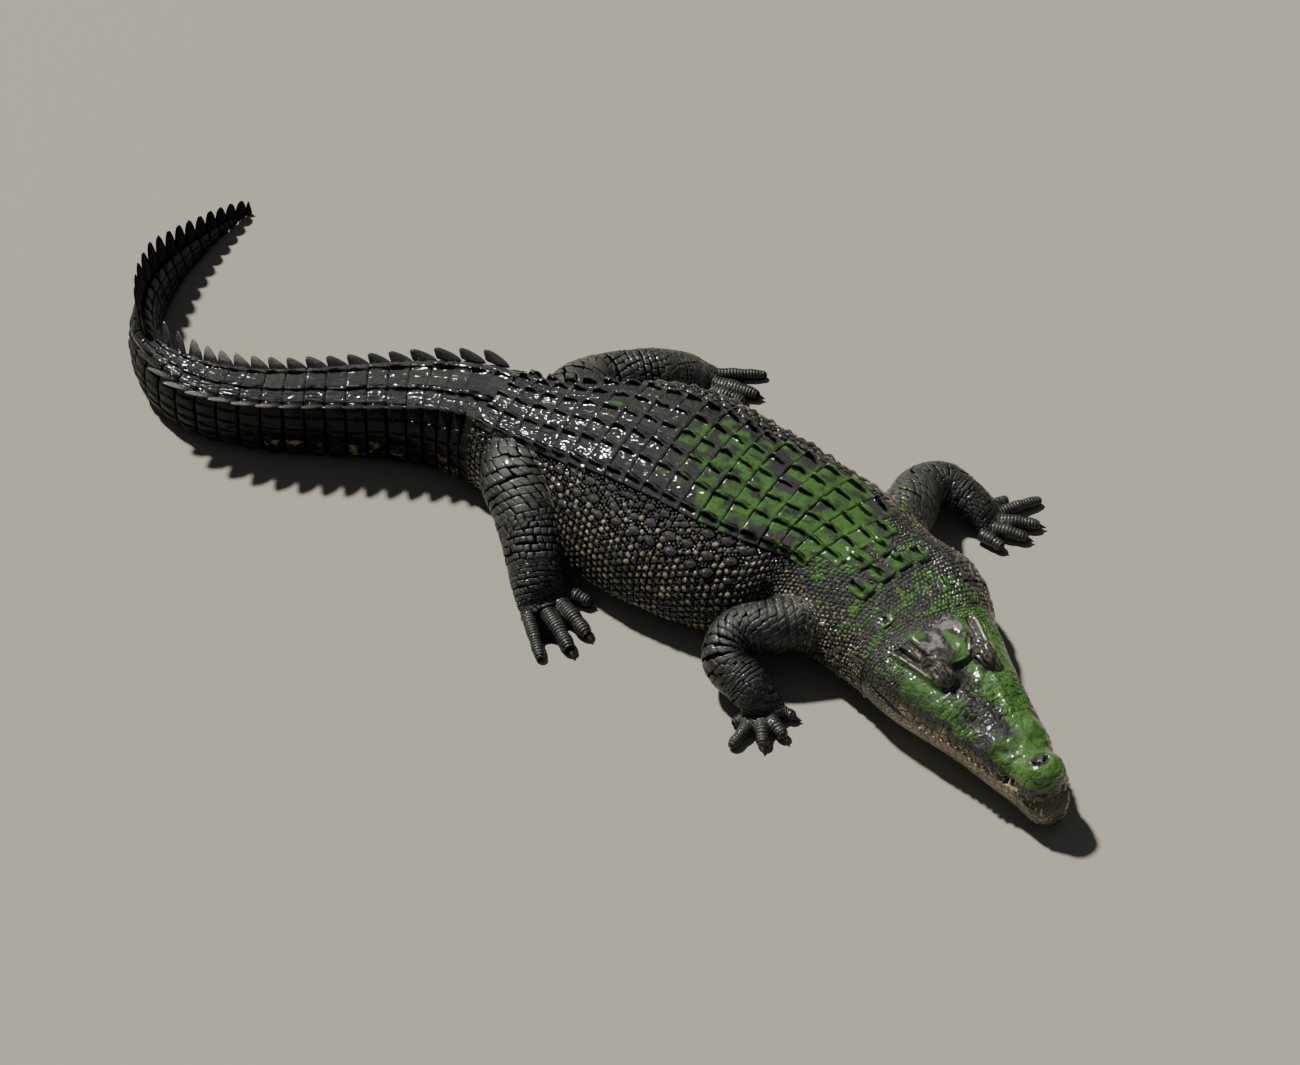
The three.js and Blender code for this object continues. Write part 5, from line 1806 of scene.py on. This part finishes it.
def add_leg(scales, key, leg, chart):
    u0, v0, u1, v1 = chart
    limb = Sheet(limb_rings(leg), (u0, v0, u1, mix(v0, v1, 0.6)))
    for start, stop, pitch, width, slant, kind, size, high in LIMB_ZONES[key.split("_")[0]]:
        cells = limb_cells(limb, start, stop, pitch, width, slant, size, high)
        _, normals = limb.at(cells["u"], cells["v"])
        low = smoothstep(0.1, -0.6, normals[:, 2])
        top = smoothstep(0.6, 0.95, normals[:, 2])
        if key.startswith("hind") and start < 0.4:
            cells["high"] = cells["high"] * mix(1, 0.5, top)
        count = len(cells["u"])
        values = {
            "tone": np.clip(spread(0.15, 0.9, count) + 0.2 * top, 0, 1),
            "algae": 0.0,
            "pale": 0.5 * low * spread(0.5, 1.0, count),
            "bare": 0.10 * top,
        }
        if key.startswith("fore"):
            values["algae"] = 0.22 * smoothstep(0.5, 0.1, cells["u"]) * top
        grow(scales, limb, cells, (7, 7, ROUNDNESS[kind]), PROFILES[kind], values)
    for i, ends in enumerate(leg["digits"]):
        low_v = mix(v0, v1, 0.64 + 0.07 * i)
        sheet = Sheet(digit_rings(ends, i < CLAWED_DIGITS), (u0, low_v, u1, low_v + 0.05 * (v1 - v0)))
        travelled, _ = limb_lengths(sheet)
        bands = int((travelled[-1] - 6) / BAND_PITCH)
        at = 6 + (np.arange(bands) + 0.5) * BAND_PITCH
        share = np.interp(at / travelled[-1], travelled / travelled[-1], np.linspace(0, 1, len(travelled)))
        step = np.gradient(share)
        cells = {"u": share, "v": np.full(bands, 0.5), "du": step * 0.54, "dv": np.full(bands, 0.29),
                 "high": spread(0.5, 0.9, bands), "turn": spread(-0.04, 0.04, bands)}
        values = {"tone": spread(0.3, 0.9, bands), "bare": 0.08, "algae": 0.0, "pale": 0.0}
        grow(scales, sheet, cells, (5, 12, 0.12), shingle_profile, values, root=0.9)


# ---------------------------------------------------------------------------
# Teeth, claws and eyes
# ---------------------------------------------------------------------------


def horn_rings(start, direction, bend, length, radius, rows=12, sides=12, taper=0.9):
    """A curved cone from a root to its point, bending toward bend."""
    t = np.linspace(0, 1, rows)
    curve = start + np.outer(t * length, direction) + np.outer(t**2 * length * 0.28, bend)
    size = radius * (1 - taper * t**1.3)
    size[-1] *= 0.5
    return oval_rings_any(curve, size, sides)


def oval_rings_any(curve, size, sides):
    """Round rings along a line that may stand upright."""
    direction = np.gradient(curve, axis=0)
    direction /= np.linalg.norm(direction, axis=1, keepdims=True)
    across = np.cross(direction, [0.31, 0.9, 0.27])
    across /= np.linalg.norm(across, axis=1, keepdims=True)
    other = np.cross(direction, across)
    turn = np.linspace(0, 2 * math.pi, sides + 1)[None, :, None]
    outward = np.cos(turn) * across[:, None] + np.sin(turn) * other[:, None]
    return curve[:, None] + size[:, None, None] * outward


def upper_teeth():
    teeth = []
    for s in (6, 14, 24, 36, 92, 106, 120, 135, 150, 164, 178, 192, 206, 220, 234):
        big = float(bell(s - 118, 22)) + float(bell(s - 22, 14)) * 0.7
        half = float(along(UPPER_HALF_WIDTH, s))
        out = half * 0.93 - 2.5 if s < 60 else half + 0.6
        for sign in (1, -1):
            teeth.append((s, sign * out, float(along(LIP_HEIGHT, s)) + 1, -1, 8 + 5 * big, 2.5 + 1.0 * big))
    return teeth


def lower_teeth():
    teeth = []
    for s in (-1, 7, 17, 30, 46, 62, 76):
        big = float(bell(s - 60, 9)) + 0.6 * float(bell(s + 1, 6))
        out = float(along(JAW_HALF_WIDTH, s)) * 0.9 - 1.5
        for sign in (1, -1):
            teeth.append((s, sign * out, float(along(JAW_TOP, s)) - 2, 1, 8 + 8 * big, 2.3 + 1.2 * big))
    return teeth


def joined_tubes(name, tubes, material):
    points, faces = [], []
    start = 0
    for rings in tubes:
        tube_points, quads_and_caps = closed_tube(rings)
        points.append(tube_points)
        faces.extend(tuple(int(i) + start for i in face) for face in quads_and_caps)
        start += len(tube_points)
    piece = new_mesh(name, np.concatenate(points), faces)
    piece.data.materials.append(material)
    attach(piece, "root")
    return piece


def horn_material(name, dark, light, roughness):
    sh = Shader(name)
    streak = sh.noise(300, 3)
    broad = sh.noise(60, 2)
    shade = sh.math("ADD", sh.math("MULTIPLY", streak, 0.5), broad)
    colour = sh.mix(dark, light, sh.range(shade, 0.55, 0.95))
    sh.links.new(colour, sh.surface.inputs["Base Color"])
    sh.links.new(sh.range(streak, 0.3, 0.7, roughness, roughness + 0.15), sh.surface.inputs["Roughness"])
    sh.links.new(sh.bump(streak, 0.3, 0.0004), sh.surface.inputs["Normal"])
    return sh.material


tooth_material = horn_material("tooth_enamel", (0.30, 0.22, 0.11), (0.66, 0.58, 0.42), 0.25)
claw_material = horn_material("claw_horn", (0.014, 0.012, 0.009), (0.065, 0.054, 0.038), 0.3)

tooth_tubes = []
for s, left, height, way, length, radius in upper_teeth() + lower_teeth():
    root = place(s, left, height - way * 3)
    lean = HEAD_LEFT * math.copysign(0.12, left) + np.array([0, 0, way])
    inward = -HEAD_LEFT * math.copysign(0.5, left)
    tooth_tubes.append(horn_rings(root, lean / np.linalg.norm(lean), inward, length, radius))
joined_tubes("teeth", tooth_tubes, tooth_material)

CLAW_ROOT = 4.5
for key, leg in LEGS.items():
    for i, ends in enumerate(leg["digits"][:CLAWED_DIGITS]):
        line, direction = digit_line(ends, True, np.array([0.0, 1.0]))
        direction = np.array([*direction, 0.0])
        start = line[-1] - direction * CLAW_ROOT
        length = CLAW_LENGTH + CLAW_ROOT - 1
        rings = horn_rings(start, direction, np.array([0, 0, -0.95]), length, CLAW_RADIUS - 0.1)
        name = f"horn_{key}_{i + 1}"
        claw = joined_tubes(name, [rings], claw_material)
        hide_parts(f"claw_{key}_{i + 1}")


def eye_material():
    """A greenish-gold iris with an upright slit, by the angle from the line of sight."""
    sh = Shader("eye")
    across = sh.value("across")
    upward = sh.value("upward")
    squares = [sh.math("MULTIPLY", side, side) for side in (across, upward)]
    radius = sh.math("SQRT", sh.math("ADD", *squares))
    fibres = sh.noise(700, 3)
    iris = sh.mix((0.10, 0.095, 0.02), (0.30, 0.26, 0.07), fibres)
    slit = sh.math("ADD", sh.math("ABSOLUTE", across), sh.math("MULTIPLY", sh.math("ABSOLUTE", upward), 0.12))
    colour = sh.mix((0.002, 0.002, 0.002), iris, sh.range(slit, 0.09, 0.13))
    colour = sh.mix(colour, (0.012, 0.010, 0.008), sh.range(radius, 0.72, 0.82))
    sh.links.new(colour, sh.surface.inputs["Base Color"])
    sh.surface.inputs["Roughness"].default_value = 0.08
    sh.surface.inputs["Coat Weight"].default_value = 1.0
    sh.surface.inputs["Coat Roughness"].default_value = 0.03
    return sh.material


IRIS_SPREAD = 1.35      # how small the iris is drawn on the eye: more is smaller
cornea = eye_material()
for name, sign in (("eye_left", 1), ("eye_right", -1)):
    gaze = HEAD_LEFT * sign * math.cos(LID_TILT) + np.array([0, 0, math.sin(LID_TILT)])
    gaze = gaze + HEAD_FORWARD * 0.25
    gaze /= np.linalg.norm(gaze)
    sideways = np.cross(gaze, [0, 0, 1])
    sideways /= np.linalg.norm(sideways)
    over = np.cross(sideways, gaze)
    t = np.linspace(0.01, math.pi - 0.01, 40)[:, None, None]
    turn = np.linspace(0, 2 * math.pi, 49)[None, :, None]
    local = np.cos(t) * gaze + np.sin(t) * (np.cos(turn) * sideways + np.sin(turn) * over)
    centre = place(EYE["s"], sign * EYE["left"], EYE["height"])
    piece = joined_tubes(f"{name}_ball", [centre + EYEBALL * local], cornea)
    ball = vertex_array(piece.data) / MM - centre
    places = {"across": sideways, "upward": over}
    set_values(piece.data, {k: ball @ axis / EYEBALL * IRIS_SPREAD for k, axis in places.items()})
    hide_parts(name)

# ---------------------------------------------------------------------------
# All the scales
# ---------------------------------------------------------------------------

back = Scales()
add_back_scutes(back)
add_neck_scutes(back)
back.build("back_scutes", wet_hide)
beads = Scales()
add_neck_beads(beads)
beads.build("neck_beads", wet_hide)
jowls = Scales()
add_head_beads(jowls)
jowls.build("head_beads", wet_hide)
for side_name, sign in (("left", 1), ("right", -1)):
    flank = Scales()
    add_flank_scales(flank, sign)
    add_belly_plates(flank, sign)
    flank.build(f"flank_scales_{side_name}", wet_hide)
tail = Scales()
add_tail_plates(tail)
tail.build("tail_plates", wet_hide)
crests = Scales()
add_crests(crests)
crests.build("tail_crests", wet_hide)
for pair in ("fore", "hind"):
    legs = Scales()
    add_leg(legs, f"{pair}_left", LEGS[f"{pair}_left"], (0, 0, 1, 0.5))
    add_leg(legs, f"{pair}_right", LEGS[f"{pair}_right"], (0, 0.5, 1, 1))
    legs.build(f"{pair}_leg_scales", dry_hide)

# ---------------------------------------------------------------------------
# Floor, light and camera
# ---------------------------------------------------------------------------

FLOOR_HALF = 12000
FLOOR_HEIGHT = -0.6
corners = [(x * FLOOR_HALF, y * FLOOR_HALF, FLOOR_HEIGHT) for x, y in ((-1, -1), (1, -1), (1, 1), (-1, 1))]
floor = new_mesh("floor", corners, [(0, 1, 2, 3)])
floor_shader = Shader("pale_floor")
floor_shader.surface.inputs["Base Color"].default_value = (0.33, 0.31, 0.265, 1)
floor_shader.surface.inputs["Roughness"].default_value = 0.85
floor.data.materials.append(floor_shader.material)

SUN_STRENGTH = 5.6
SUN_WIDTH = math.radians(4)
SKY_STRENGTH = 0.10
KEY_FROM = Vector((-0.60, 0.16, 0.92)).normalized()
key_data = bpy.data.lights.new("key", "SUN")
key_data.energy = SUN_STRENGTH
key_data.angle = SUN_WIDTH
key_data.color = (1.0, 0.965, 0.90)
key = bpy.data.objects.new("key", key_data)
key.rotation_mode = "QUATERNION"
key.rotation_quaternion = KEY_FROM.to_track_quat("Z", "Y")
bpy.context.scene.collection.objects.link(key)

world = bpy.data.worlds.new("studio")
bpy.context.scene.world = world
world.use_nodes = True
world.node_tree.nodes["Background"].inputs["Color"].default_value = (0.86, 0.92, 1.0, 1)
world.node_tree.nodes["Background"].inputs["Strength"].default_value = SKY_STRENGTH

CAMERA_DISTANCE = 7.0
CAMERA_AZIMUTH = math.radians(29)
CAMERA_ELEVATION = math.radians(45)
CAMERA_LENS = 113.0
aim = Vector((leg_offset[0] * MM, leg_offset[1] * MM, 0))
away = Vector((
    math.sin(CAMERA_AZIMUTH) * math.cos(CAMERA_ELEVATION),
    -math.cos(CAMERA_AZIMUTH) * math.cos(CAMERA_ELEVATION),
    math.sin(CAMERA_ELEVATION),
))
camera_data = bpy.data.cameras.new("camera")
camera_data.lens = CAMERA_LENS
camera_data.sensor_width = 36
camera_data.clip_end = 100
camera = bpy.data.objects.new("camera", camera_data)
camera.location = aim + away * CAMERA_DISTANCE
camera.rotation_mode = "QUATERNION"
camera.rotation_quaternion = away.to_track_quat("Z", "Y")
bpy.context.scene.collection.objects.link(camera)
bpy.context.scene.camera = camera
